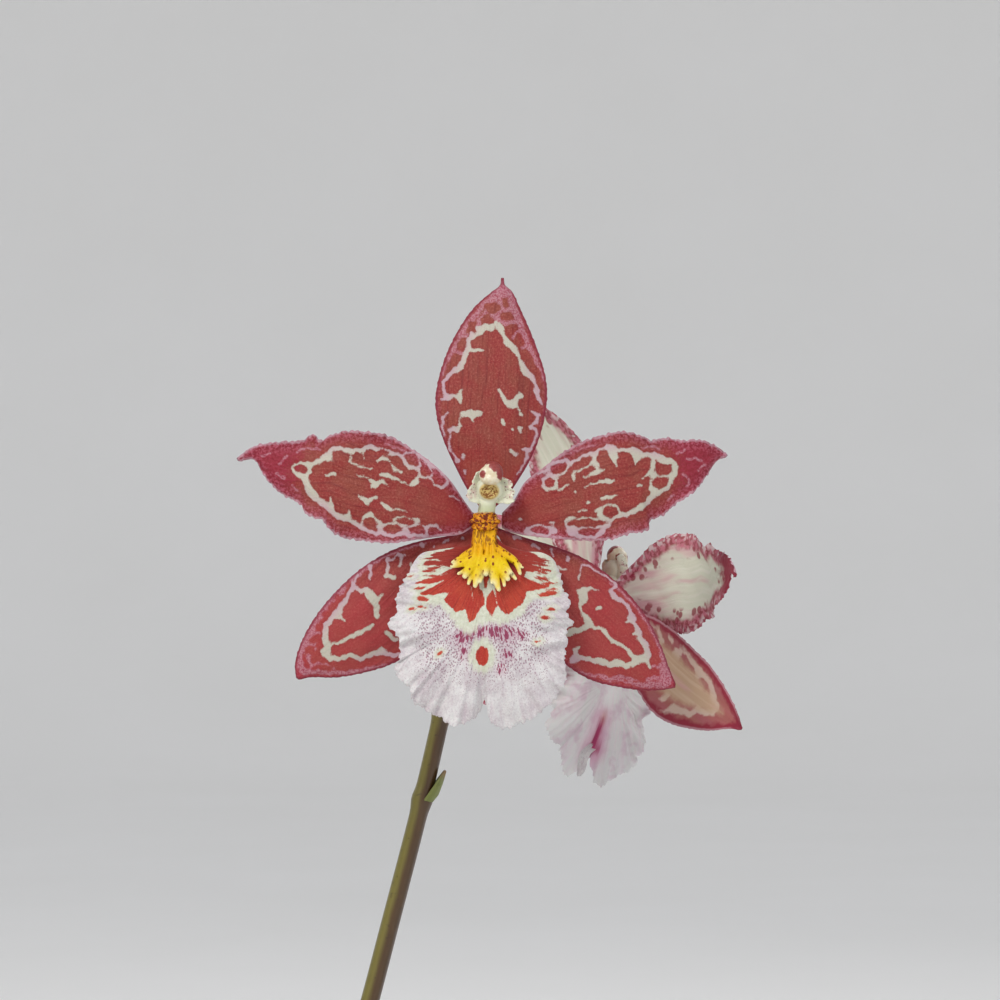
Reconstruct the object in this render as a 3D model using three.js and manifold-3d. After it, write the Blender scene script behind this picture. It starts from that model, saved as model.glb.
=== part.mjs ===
// A potted oncidopsis orchid: a plain clay pot of bark, a clump of three pseudobulbs with their strap
// leaves and a new leafy growth, and one arching flower spike with two open blooms, the second one facing
// away to the rear. Millimetres, +Z up. The origin is the middle of the pot's underside. The first bloom
// faces -Y.
import * as THREE from "three";
import { mergeVertices } from "three/addons/utils/BufferGeometryUtils.js";
import Module from "manifold-3d";

const wasm = await Module();
wasm.setup();

// Driving dimensions. GAP is the clearance kept where one piece is seated on another.
const GAP = 0.35;
const PETAL_THICKNESS = 0.7;
const SCALE_THICKNESS = 0.7;
const LEAF_THICKNESS = 1.0;
const POT_HEIGHT = 112;
const POT_RIM_RADIUS = 64;
const POT_RIM_HEIGHT = 25;
const POT_FOOT_RADIUS = 43.5;
const POT_FLOOR = 6;
const POT_WALL = 4;
const DRAIN_HOLES = 5;
const DRAIN_RADIUS = 4.5;
const DRAIN_CIRCLE = 22;
const BARK_TOP = 97;
const BARK_CHIPS = 32;
const BULB_HEIGHT = 74;
const BULB_DEPTH = 4;
const RHIZOME_RADIUS = 4;
const ROOT_RADIUS = 1.5;
const SPIKE_RADIUS = 1.95;
const PEDICEL_RADIUS = 1.15;
const OVARY_RADIUS = 1.75;
const FIRST_BLOOM_AT = new THREE.Vector3(28, -38, 410);
const SECOND_BLOOM_AT = new THREE.Vector3(50, 10, 393);
const SECOND_BLOOM_TURN = THREE.MathUtils.degToRad(131);
const SECOND_BLOOM_SCALE = 0.96;

// Solids and meshes.

function solidOf(geometry) {
  const bare = geometry.index ? geometry.toNonIndexed() : geometry.clone();
  bare.deleteAttribute("normal");
  bare.deleteAttribute("uv");
  const merged = mergeVertices(bare, 1e-4);
  return new wasm.Manifold(
    new wasm.Mesh({
      numProp: 3,
      vertProperties: merged.attributes.position.array,
      triVerts: new Uint32Array(merged.index.array),
    }),
  );
}

function geometryOf(solid) {
  const mesh = solid.getMesh();
  const position = new Float32Array(mesh.numVert * 3);
  for (let i = 0; i < mesh.numVert; i++) {
    const from = i * mesh.numProp;
    position.set(mesh.vertProperties.subarray(from, from + 3), i * 3);
  }
  const geometry = new THREE.BufferGeometry();
  geometry.setAttribute("position", new THREE.BufferAttribute(position, 3));
  geometry.setIndex(new THREE.BufferAttribute(mesh.triVerts, 1));
  geometry.computeVertexNormals();
  return geometry;
}

// What booleans leave behind is dropped: only the largest body of a solid is kept.
function largestBody(solid) {
  return solid.decompose().sort((a, b) => b.volume() - a.volume())[0];
}

function union(solids) {
  return solids.reduce((whole, solid) => whole.add(solid));
}

function cut(solid, tools) {
  return largestBody(tools.reduce((left, tool) => left.subtract(tool), solid));
}

function material(colour, roughness) {
  return new THREE.MeshStandardMaterial({ color: colour, roughness, metalness: 0 });
}

const MATERIALS = {
  clay: material(0xb5653f, 0.9),
  bark: material(0x6b4630, 0.95),
  root: material(0xc9c9a4, 0.7),
  bulb: material(0x7c9440, 0.5),
  leaf: material(0x3f7a2c, 0.45),
  spike: material(0x66602a, 0.55),
  bract: material(0x6f8a3a, 0.6),
  tepal: material(0xa04848, 0.6),
  lip: material(0xd9c4d2, 0.6),
  callus: material(0xf0c01c, 0.5),
  column: material(0xe4e2bc, 0.5),
  cap: material(0xe8dcc0, 0.45),
};

function addNode(group, name, solid, finish) {
  const mesh = new THREE.Mesh(geometryOf(solid), finish);
  mesh.name = name;
  group.add(mesh);
}

// A thin closed sheet over a grid. pointAt(u, v) gives its middle surface for u and v from 0 to 1, and
// offsetAt(u, v), where given, the direction of its thickness. Both faces are split the same way.
function sheetGeometry(rows, columns, pointAt, thickness, offsetAt) {
  const step = 1e-3;
  const normalAt = (u, v) => {
    const along = pointAt(Math.min(1, u + step), v).sub(pointAt(Math.max(0, u - step), v));
    const across = pointAt(u, Math.min(1, v + step)).sub(pointAt(u, Math.max(0, v - step)));
    return along.cross(across).normalize();
  };
  const perFace = (rows + 1) * (columns + 1);
  const position = new Float32Array(perFace * 6);
  for (let i = 0; i <= rows; i++) {
    for (let j = 0; j <= columns; j++) {
      const [u, v] = [i / rows, j / columns];
      const middle = pointAt(u, v);
      const offset = (offsetAt ?? normalAt)(u, v).multiplyScalar(thickness / 2);
      const at = (i * (columns + 1) + j) * 3;
      middle.clone().add(offset).toArray(position, at);
      middle.clone().sub(offset).toArray(position, perFace * 3 + at);
    }
  }
  const index = [];
  const corner = (i, j) => i * (columns + 1) + j;
  for (let i = 0; i < rows; i++) {
    for (let j = 0; j < columns; j++) {
      const [a, b, c, d] = [corner(i, j), corner(i + 1, j), corner(i + 1, j + 1), corner(i, j + 1)];
      index.push(a, b, c, a, c, d);
      index.push(perFace + a, perFace + c, perFace + b, perFace + a, perFace + d, perFace + c);
    }
  }
  const rim = [];
  for (let j = 0; j < columns; j++) {
    rim.push(corner(0, j));
  }
  for (let i = 0; i < rows; i++) {
    rim.push(corner(i, columns));
  }
  for (let j = columns; j > 0; j--) {
    rim.push(corner(rows, j));
  }
  for (let i = rows; i > 0; i--) {
    rim.push(corner(i, 0));
  }
  rim.forEach((a, k) => {
    const b = rim[(k + 1) % rim.length];
    index.push(a, b, perFace + b, a, perFace + b, perFace + a);
  });
  return closedGeometry(position, index);
}

// An indexed closed surface, turned round if it came out inside out.
function closedGeometry(position, index) {
  const geometry = new THREE.BufferGeometry();
  geometry.setAttribute("position", new THREE.BufferAttribute(Float32Array.from(position), 3));
  geometry.setIndex(index);
  const at = (k) => new THREE.Vector3().fromArray(position, index[k] * 3);
  let volume = 0;
  for (let k = 0; k < index.length; k += 3) {
    volume += at(k).dot(at(k + 1).cross(at(k + 2)));
  }
  if (volume < 0) {
    geometry.setIndex(index.map((_, k) => index[k - (k % 3) + 2 - (k % 3)]));
  }
  geometry.computeVertexNormals();
  return geometry;
}

// A closed round tube of changing radius along a curve.
function tubeGeometry(curve, radiusAt, sides, steps) {
  const frames = curve.computeFrenetFrames(steps, false);
  const position = [];
  const index = [];
  for (let i = 0; i <= steps; i++) {
    const centre = curve.getPointAt(i / steps);
    const radius = radiusAt(i / steps);
    for (let j = 0; j < sides; j++) {
      const angle = (2 * Math.PI * j) / sides;
      const spoke = frames.normals[i].clone().multiplyScalar(Math.cos(angle) * radius);
      spoke.addScaledVector(frames.binormals[i], Math.sin(angle) * radius);
      position.push(...spoke.add(centre).toArray());
    }
  }
  for (let i = 0; i < steps; i++) {
    for (let j = 0; j < sides; j++) {
      const next = (j + 1) % sides;
      const [a, b, c, d] = [i * sides + j, i * sides + next, (i + 1) * sides + next, (i + 1) * sides + j];
      index.push(a, b, c, a, c, d);
    }
  }
  const end = steps * sides;
  for (let j = 1; j < sides - 1; j++) {
    index.push(0, j + 1, j, end, end + j, end + j + 1);
  }
  return closedGeometry(position, index);
}

function curveThrough(points) {
  const places = points.map((point) => (point.isVector3 ? point : new THREE.Vector3(...point)));
  return new THREE.CatmullRomCurve3(places, false, "centripetal");
}

function ellipsoid(centre, radii, around, down) {
  return solidOf(new THREE.SphereGeometry(1, around, down).scale(...radii).translate(...centre));
}

function smoothstep(x) {
  return THREE.MathUtils.smoothstep(x, 0, 1);
}

// The pot and what fills it.

function potSolid() {
  const rimBottom = POT_HEIGHT - POT_RIM_HEIGHT;
  const profile = [
    [0, 0],
    [POT_FOOT_RADIUS - 2, 0],
    [POT_FOOT_RADIUS, 1.5],
    [POT_RIM_RADIUS - 6, rimBottom - 1],
    [POT_RIM_RADIUS - 2, rimBottom + 1],
    [POT_RIM_RADIUS, POT_HEIGHT - 2],
    [POT_RIM_RADIUS - 1.2, POT_HEIGHT],
    [POT_RIM_RADIUS - POT_WALL, POT_HEIGHT],
    [potInnerRadius(POT_HEIGHT - 2), POT_HEIGHT - 2],
    [potInnerRadius(POT_FLOOR + 2), POT_FLOOR + 2],
    [potInnerRadius(POT_FLOOR) - 2, POT_FLOOR],
    [0, POT_FLOOR],
  ].map(([r, z]) => new THREE.Vector2(r, z));
  const shell = solidOf(new THREE.LatheGeometry(profile, 32).rotateX(Math.PI / 2));
  const drains = [];
  for (let i = 0; i < DRAIN_HOLES; i++) {
    const angle = (2 * Math.PI * i) / DRAIN_HOLES;
    const drain = new THREE.CylinderGeometry(DRAIN_RADIUS, DRAIN_RADIUS, POT_FLOOR * 3, 12);
    drain.rotateX(Math.PI / 2);
    drain.translate(DRAIN_CIRCLE * Math.cos(angle), DRAIN_CIRCLE * Math.sin(angle), 0);
    drains.push(solidOf(drain));
  }
  return cut(shell, drains);
}

function potInnerRadius(z) {
  const rise = (z - POT_FLOOR) / (POT_HEIGHT - POT_FLOOR);
  return POT_FOOT_RADIUS - POT_WALL + rise * (POT_RIM_RADIUS - POT_FOOT_RADIUS - 1);
}

// A repeatable random draw.
function seededRandom(seed) {
  let state = seed;
  return () => {
    state = (state * 1664525 + 1013904223) % 4294967296;
    return state / 4294967296;
  };
}

// Bark chips stand out of the top of one filling of bark, on a spiral that covers it evenly.
const GOLDEN_ANGLE = Math.PI * (3 - Math.sqrt(5));
const BARK_CLEARANCE = GAP + 0.6;

function barkSolid(plantHoles) {
  const bottom = POT_FLOOR + GAP;
  const edge = potInnerRadius(BARK_TOP) - BARK_CLEARANCE;
  const profile = [
    [0, bottom],
    [potInnerRadius(bottom) - 3, bottom],
    [potInnerRadius(POT_FLOOR + 4) - BARK_CLEARANCE, POT_FLOOR + 4],
    [edge, BARK_TOP],
    [edge * 0.6, BARK_TOP + 0.8],
    [0, BARK_TOP + 1.5],
  ].map(([r, z]) => new THREE.Vector2(r, z));
  const filling = solidOf(new THREE.LatheGeometry(profile, 24).rotateX(Math.PI / 2));
  const random = seededRandom(7);
  const chips = [];
  for (let i = 0; i < BARK_CHIPS; i++) {
    const radius = (edge - 8.5) * Math.sqrt((i + 0.5) / BARK_CHIPS);
    const angle = i * GOLDEN_ANGLE + random() * 0.3;
    const chip = new THREE.BoxGeometry(9 + 6 * random(), 6 + 4 * random(), 4 + 2 * random());
    chip.rotateX((random() - 0.5) * 0.7);
    chip.rotateY((random() - 0.5) * 0.7);
    chip.rotateZ(random() * Math.PI);
    chip.translate(radius * Math.cos(angle), radius * Math.sin(angle), BARK_TOP + 0.6 + 1.8 * random());
    chips.push(solidOf(chip));
  }
  return cut(union([filling, ...chips]), plantHoles);
}

// The plant's base. Each shape can be made a little larger all round, as its seat in a neighbour.

const BULBS = {
  flowering: { at: [4, -10], height: BULB_HEIGHT, width: 19.5, turn: 0.15, lean: [0.06, -0.03] },
  older: { at: [-25, 13], height: 66, width: 18, turn: -0.3, lean: [-0.12, 0.04] },
  oldest: { at: [23, 20], height: 57, width: 16.5, turn: 0.35, lean: [0.1, 0.08] },
};
const BULB_FLATNESS = 0.53;
const BULB_BASE = BARK_TOP - BULB_DEPTH;

function bulbSolid({ at, height, width, turn, lean }, grow = 0) {
  const profile = [
    [0, -grow],
    [0.55, -grow],
    [0.88, 0.17],
    [1, 0.38],
    [0.93, 0.58],
    [0.7, 0.79],
    [0.4, 0.93],
    [0.24, 0.985],
    [0, 1],
  ].map(([radius, rise]) => {
    const above = rise > 0.95 ? grow : 0;
    return new THREE.Vector2(radius && radius * width + grow, rise * height + above);
  });
  const geometry = new THREE.LatheGeometry(profile, 14).rotateX(Math.PI / 2);
  geometry.scale(1, (width * BULB_FLATNESS + grow) / (width + grow), 1);
  geometry.rotateZ(turn);
  const leaning = new THREE.Matrix4().makeShear(0, 0, 0, 0, lean[0], lean[1]);
  return solidOf(geometry.applyMatrix4(leaning).translate(at[0], at[1], BULB_BASE));
}

// The middle of a bulb at a share of its height.
function bulbMiddle({ at, height, lean }, share) {
  const rise = share * height;
  return new THREE.Vector3(at[0] + lean[0] * rise, at[1] + lean[1] * rise, BULB_BASE + rise);
}

// The creeping rhizome joins the bulbs under their bases, and fleshy roots arch out of it into the bark.
const ROOT_HEADINGS = [-160, -118, -72, -30, 10, 82, 140];
const ROOT_CLEARANCE = 4.5;

function rhizomeSolid(grow = 0) {
  const z = BARK_TOP - 9;
  const route = curveThrough([
    [-33, 16, z],
    [-14, 6, z - 1],
    [4, -4, z],
    [18, -2, z - 1],
    [36, -8, z],
  ]);
  const branch = curveThrough([
    [8, 0, z],
    [16, 10, z],
    [25, 22, z],
  ]);
  const thick = () => RHIZOME_RADIUS + grow;
  const pieces = [route, branch].map((curve) => solidOf(tubeGeometry(curve, thick, 7, 8)));
  ROOT_HEADINGS.forEach((heading, i) => {
    const angle = THREE.MathUtils.degToRad(heading);
    const from = route.getPointAt(0.1 + (0.8 * ((i * 3) % 7)) / 7);
    const out = (reach, height) => {
      const x = from.x * 0.6 + reach * Math.cos(angle);
      const y = from.y * 0.6 + reach * Math.sin(angle);
      const inside = Math.min(1, (potInnerRadius(height) - ROOT_CLEARANCE) / Math.hypot(x, y));
      return [x * inside, y * inside, height];
    };
    const reach = 32 + 3 * (i % 3);
    const curve = curveThrough([
      from.toArray(),
      out(17, BARK_TOP - 3),
      out(reach - 8, BARK_TOP + 3.4),
      out(reach, BARK_TOP + 1),
      out(reach + 3, BARK_TOP - 9),
      out(reach - 2, BARK_TOP - 42 - 6 * (i % 4)),
    ]);
    pieces.push(solidOf(tubeGeometry(curve, (t) => ROOT_RADIUS * (1 - 0.4 * t) + grow, 5, 8)));
  });
  return union(pieces);
}

// Strap leaves, folded along the middle. The midline rises from its base at one slope and bends over to
// another. Angles are in degrees, and a leaf's foot is a share of its width.
const LEAF_DROOP = 1.6;
const LEAF_FOOT = 0.36;

function leafFrame(leaf, u) {
  const steps = 40;
  const heading = new THREE.Vector3(
    Math.cos(THREE.MathUtils.degToRad(leaf.heading)),
    Math.sin(THREE.MathUtils.degToRad(leaf.heading)),
    0,
  );
  const slopeAt = (share) => {
    return THREE.MathUtils.degToRad(leaf.rise + (leaf.fall - leaf.rise) * Math.pow(share, LEAF_DROOP));
  };
  const centre = new THREE.Vector3(...leaf.from);
  for (let k = 0; k < steps; k++) {
    const slope = slopeAt((u * (k + 0.5)) / steps);
    const length = (leaf.length * u) / steps;
    centre.addScaledVector(heading, Math.cos(slope) * length);
    centre.z += Math.sin(slope) * length;
  }
  const slope = slopeAt(u);
  const along = heading.clone().multiplyScalar(Math.cos(slope)).setZ(Math.sin(slope));
  const side = new THREE.Vector3(-heading.y, heading.x, 0).applyAxisAngle(along, (leaf.twist ?? 0) * u * u);
  const upper = along.clone().cross(side);
  return { centre, side, upper };
}

function leafHalfWidth(leaf, u) {
  const foot = leaf.foot ?? LEAF_FOOT;
  const widen = foot + (1 - foot) * smoothstep(u / 0.42);
  return leaf.width * widen * Math.pow(1 - Math.pow(u, 3.4), 0.72) + 0.35;
}

function leafPoint(leaf, u, v) {
  const across = 2 * v - 1;
  const { centre, side, upper } = leafFrame(leaf, u);
  const [foldAtFoot, foldAtTip] = leaf.fold;
  const fold = THREE.MathUtils.degToRad(foldAtFoot + (foldAtTip - foldAtFoot) * smoothstep(u / 0.55));
  const reach = leafHalfWidth(leaf, u);
  const wing = Math.abs(across) * (1.12 - 0.12 * Math.abs(across));
  centre.addScaledVector(side, across * reach * Math.cos(fold));
  return centre.addScaledVector(upper, wing * reach * Math.sin(fold));
}

function leafSolid(leaf, seats) {
  const geometry = sheetGeometry(13, 4, (u, v) => leafPoint(leaf, u, v), LEAF_THICKNESS);
  return cut(solidOf(geometry), seats);
}

function topOf(bulb, dx, dy) {
  return bulbMiddle(bulb, 0.97).add(new THREE.Vector3(dx, dy, 0)).toArray();
}

const LEAF_BASE = BARK_TOP - 2;
const LEAVES = {
  flowering_top_leaf_left: {
    from: topOf(BULBS.flowering, -5, 0.5),
    heading: 165, length: 190, width: 14,
    rise: 84, fall: -18,
    fold: [62, 20], twist: 0.25,
  },
  flowering_top_leaf_right: {
    from: topOf(BULBS.flowering, 4.5, -0.5),
    heading: -14, length: 176, width: 14,
    rise: 80, fall: -24,
    fold: [62, 20], twist: -0.2,
  },
  flowering_side_leaf: {
    from: [-21.5, -13, LEAF_BASE],
    heading: 196, length: 222, width: 15,
    rise: 82, fall: -30,
    fold: [66, 22], twist: 0.15,
  },
  older_top_leaf_rear: {
    from: topOf(BULBS.older, 4, 2.5),
    heading: 90, length: 178, width: 13.5,
    rise: 80, fall: -22,
    fold: [60, 20], twist: -0.2,
  },
  older_top_leaf_left: {
    from: topOf(BULBS.older, -4.5, -1),
    heading: 156, length: 168, width: 13.5,
    rise: 72, fall: -34,
    fold: [60, 18], twist: 0.2,
  },
  older_side_leaf: {
    from: [-47, 19, LEAF_BASE],
    heading: 172, length: 150, width: 13,
    rise: 74, fall: -38,
    fold: [64, 20],
  },
  oldest_top_leaf: {
    from: topOf(BULBS.oldest, 1, 1),
    heading: 42, length: 186, width: 13.5,
    rise: 76, fall: -30,
    fold: [60, 20], twist: 0.2,
  },
  growth_leaf_outer: {
    from: [43, -10, LEAF_BASE],
    heading: -6, length: 150, width: 12.5,
    rise: 70, fall: -36,
    fold: [66, 20],
  },
  growth_leaf_right: {
    from: [36.5, -12.5, LEAF_BASE],
    heading: -28, length: 168, width: 12,
    rise: 82, fall: -6,
    fold: [70, 24], twist: -0.2, foot: 0.3,
  },
  growth_leaf_front: {
    from: [30, -17, LEAF_BASE],
    heading: -84, length: 128, width: 11,
    rise: 80, fall: 6,
    fold: [70, 26], twist: 0.25, foot: 0.28,
  },
};

// The flower spike, its scales, and the stalks of the blooms.

const SPIKE_ROUTE = [
  [-16, -22, BARK_TOP - 3],
  [-19, -24, BARK_TOP + 26],
  [-19, -20, 170],
  [-15, -12, 225],
  [-6, -5, 275],
  [5, -1, 318],
  [13.5, 0, 351],
  [18.5, 0.5, 373],
  [21.5, -0.5, 388],
  [22.5, -2, 396],
];

const SPIKE_TIP = { from: 0.985, narrowed: 0.7 };

function spikeRadiusAt(t) {
  const tip = t > SPIKE_TIP.from ? SPIKE_TIP.narrowed : 1;
  return SPIKE_RADIUS * (1.15 - 0.22 * t) * tip;
}

function spikeSolid(grow = 0) {
  return solidOf(tubeGeometry(curveThrough(SPIKE_ROUTE), (t) => spikeRadiusAt(t) + grow, 8, 34));
}

// A scale that clasps the spike at a node and narrows to a point that stands a little off it.
function scaleSolid({ at, heading, length, spread }, spikeSeat) {
  const curve = curveThrough(SPIKE_ROUTE);
  const middle = curve.getPointAt(at);
  const along = curve.getTangentAt(at);
  const out = new THREE.Vector3(Math.cos(heading), Math.sin(heading), 0);
  out.addScaledVector(along, -out.dot(along)).normalize();
  const side = along.clone().cross(out);
  const pointAt = (u, v) => {
    const half = THREE.MathUtils.degToRad(95 * Math.pow(1 - u, 0.55) + 8);
    const angle = (2 * v - 1) * half;
    const radius = spikeRadiusAt(at) + GAP + 0.4 + spread * u * (1 - 0.45 * u * u);
    const point = middle.clone().addScaledVector(along, length * u);
    point.addScaledVector(out, Math.cos(angle) * radius);
    return point.addScaledVector(side, Math.sin(angle) * radius);
  };
  return cut(solidOf(sheetGeometry(4, 6, pointAt, SCALE_THICKNESS)), [spikeSeat]);
}

const SCALES = {
  spike_scale_low: { at: 0.2, heading: 3.4, length: 22, spread: 1.6 },
  spike_scale_middle: { at: 0.5, heading: -0.4, length: 19, spread: 1.8 },
  spike_scale_high: { at: 0.828, heading: -0.3, length: 14.5, spread: 1 },
  bloom_scale_lower: { at: 0.914, heading: 0.4, length: 6, spread: 1.2 },
  bloom_scale_upper: { at: 0.965, heading: -1.6, length: 5.5, spread: 1.4 },
};

// The stalk of each bloom, as far as the back of its heart.
const FIRST_STALK_ROUTE = [
  [22, -1, 391],
  [24, -12, 399],
  [26.4, -24, 407],
];
const SECOND_STALK_ROUTE = [
  [18.5, 0.5, 374],
  [27, 0.5, 383],
  [38, 2.5, 391],
];

function stalkSolid(points, spikeSeat) {
  const radiusAt = (t) => PEDICEL_RADIUS + (OVARY_RADIUS - PEDICEL_RADIUS) * smoothstep((t - 0.25) / 0.5);
  return cut(solidOf(tubeGeometry(curveThrough(points), radiusAt, 8, 10)), [spikeSeat]);
}

// A bloom in its own frame: it faces -Y, +Z is up, and its centre is where its parts meet.
// HEART is the x and z of the short core that carries all the parts.
const HEART = [-0.6, 0];
const HEART_RADIUS = 2.35;
const HEART_LENGTH = 4.2;
const HEART_MIDDLE = -0.2;

// Each blade lies between two edges, drawn from its base to its tip as seen from the front. The depth gives
// how its surface stands: base is where it starts, bow comes forward, and tipBack and edgeBack bend back.
const TEPALS = {
  dorsal_sepal: {
    edges: [
      [
        [-1.9, 2.7], [-4.6, 6.6], [-6.9, 11], [-9.2, 16], [-10.6, 20.5], [-11, 24.5], [-10.3, 29],
        [-8.7, 34], [-6.2, 39], [-3.2, 43.3], [0.2, 46.4], [1.7, 47.5], [2.2, 48.3], [2.2, 49.4],
      ],
      [
        [0.8, 2.7], [3.6, 5.4], [5.8, 8.6], [8.1, 12.5], [9.9, 16.8], [11, 21], [11.5, 25.5],
        [11.1, 29.5], [9.6, 34.5], [7.9, 39], [6, 43.3], [4.5, 46.5], [2.9, 48.1], [2.8, 49.4],
      ],
    ],
    depth: { base: 0.9, bow: 2.2, tipBack: 8, edgeBack: 1.6, wave: 0.3, waves: 2.5 },
  },
  left_petal: {
    edges: [
      [
        [-3.6, -1.2], [-6, -2.5], [-10, -2.9], [-15, -3.6], [-20, -4.3], [-25, -3.9], [-30, -3],
        [-32.4, -1.2], [-33.2, 0.1], [-36.5, 1.3], [-38, 3.4], [-42, 5.6], [-45.3, 9], [-47.4, 12.4],
        [-50.8, 12.2],
      ],
      [
        [-3.4, 1.8], [-5.4, 4.6], [-8, 8.4], [-12, 12.2], [-16, 15], [-20, 17.3], [-24.5, 18.1],
        [-28.5, 18.3], [-32, 17.4], [-33.9, 16.4], [-35.2, 17.7], [-37.5, 16.5], [-42, 16.2],
        [-47.5, 15.3], [-51.2, 12.8],
      ],
    ],
    depth: { base: -0.8, bow: 3.6, tipBack: 7, edgeBack: 0.8, wave: 1.1, waves: 3.2 },
  },
  right_petal: {
    edges: [
      [
        [2.4, 1.8], [4.8, 4.4], [7, 8], [10.5, 10.8], [14.5, 14], [18.5, 16.2], [22.5, 17.5],
        [26.5, 18.2], [30, 17.4], [32.3, 16.5], [35, 17], [38.5, 16.5], [42.2, 16.6], [45.4, 15.4],
        [48, 13.5],
      ],
      [
        [2.4, -1.2], [5, -2.3], [9, -2.9], [14, -3.4], [19, -3.8], [24, -3.6], [28, -2.4], [31.6, -1.7],
        [32, 0.1], [34.6, 1.2], [37, 3.3], [41, 6], [43.6, 9.2], [45.8, 12.3], [47.6, 13],
      ],
    ],
    depth: { base: -0.8, bow: 3.6, tipBack: 7, edgeBack: 0.8, wave: 1.1, waves: 3.2 },
  },
  left_sepal: {
    edges: [
      [
        [-1.1, -2.8], [-4.5, -8], [-8.2, -14.5], [-12, -21.2], [-16, -26.3], [-20, -28.7], [-25, -30.3],
        [-31, -31.4], [-36, -31.4], [-38.7, -31.9],
      ],
      [
        [-3.1, -1.3], [-8, -2.7], [-14, -3.8], [-20, -5.8], [-26, -9.4], [-31.5, -14.5], [-35.6, -19.7],
        [-38.4, -25], [-39.4, -28.8], [-39.2, -31.5],
      ],
    ],
    depth: { base: 0.9, bow: 1.2, tipBack: 6, edgeBack: 1.6, wave: 0.3, waves: 2 },
  },
  right_sepal: {
    edges: [
      [
        [1.7, -1.2], [7, -3.1], [13, -4.9], [18.5, -7.1], [23.5, -10.4], [28.3, -14.9], [32, -20],
        [34.6, -25.2], [36.2, -29.6], [37.5, -32.8],
      ],
      [
        [-0.1, -2.8], [3.6, -9], [7.6, -17], [11.8, -24.8], [16, -29.3], [20.5, -31.9], [25.5, -33.2],
        [30.5, -34], [34.6, -34], [37.4, -33.5],
      ],
    ],
    depth: { base: 0.9, bow: 1.2, tipBack: 6, edgeBack: 1.6, wave: 0.3, waves: 2 },
  },
};

// A smooth line through points, at a share of its chord length.
function alongEdge(points, share) {
  const at = [0];
  for (let i = 1; i < points.length; i++) {
    at.push(at[i - 1] + Math.hypot(points[i][0] - points[i - 1][0], points[i][1] - points[i - 1][1]));
  }
  const last = points.length - 1;
  const wanted = share * at[last];
  const passed = at.filter((reach) => reach <= wanted).length;
  const i = Math.min(last - 1, Math.max(0, passed - 1));
  const span = at[i + 1] - at[i];
  const t = THREE.MathUtils.clamp((wanted - at[i]) / span, 0, 1);
  const slope = (k, axis) => {
    const [a, b] = [Math.max(0, k - 1), Math.min(last, k + 1)];
    return (points[b][axis] - points[a][axis]) / (at[b] - at[a]);
  };
  return [0, 1].map((axis) => {
    const [p, q] = [points[i][axis], points[i + 1][axis]];
    const [m, n] = [slope(i, axis) * span, slope(i + 1, axis) * span];
    const [t2, t3] = [t * t, t * t * t];
    return (2 * t3 - 3 * t2 + 1) * p + (t3 - 2 * t2 + t) * m + (3 * t2 - 2 * t3) * q + (t3 - t2) * n;
  });
}

// The second bloom's parts are the same, each turned about the heart, in degrees, and bent in its own way.
const SECOND_BLOOM_TEPALS = {
  dorsal_sepal: { turn: -12, depth: { tipBack: 13 } },
  left_petal: { turn: 7, depth: { tipBack: 8 } },
  right_petal: { turn: 4, depth: { tipBack: 6 } },
  left_sepal: { turn: -7, depth: { tipBack: -5 } },
  right_sepal: { turn: 13, depth: { tipBack: 3 } },
};

function turnedEdge(edge, turn) {
  const angle = THREE.MathUtils.degToRad(turn);
  const [cos, sin] = [Math.cos(angle), Math.sin(angle)];
  return edge.map(([x, z]) => {
    const [dx, dz] = [x - HEART[0], z - HEART[1]];
    return [HEART[0] + dx * cos - dz * sin, HEART[1] + dx * sin + dz * cos];
  });
}

function variedTepals(changes) {
  const varied = Object.entries(TEPALS).map(([part, { edges, depth }]) => {
    const { turn, depth: change } = changes[part];
    return [part, { edges: edges.map((edge) => turnedEdge(edge, turn)), depth: { ...depth, ...change } }];
  });
  return Object.fromEntries(varied);
}

function tepalDepth(depth, u, across) {
  const belly = Math.sin(Math.PI * Math.min(1, u));
  const margin = across * across;
  const beat = Math.sin(2 * Math.PI * depth.waves * u + across * 1.3);
  const edge = (depth.edgeBack * margin + depth.wave * margin * Math.abs(across) * beat) * Math.sqrt(belly);
  return depth.base - depth.bow * belly + depth.tipBack * Math.pow(u, 2.5) + edge;
}

function tepalSolid({ edges, depth }) {
  const pointAt = (u, v) => {
    const [a, b] = edges.map((edge) => alongEdge(edge, u));
    const y = tepalDepth(depth, u, 2 * v - 1);
    return new THREE.Vector3(a[0] + (b[0] - a[0]) * v, y, a[1] + (b[1] - a[1]) * v);
  };
  return solidOf(sheetGeometry(16, 4, pointAt, PETAL_THICKNESS, () => new THREE.Vector3(0, 1, 0)));
}

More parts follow.
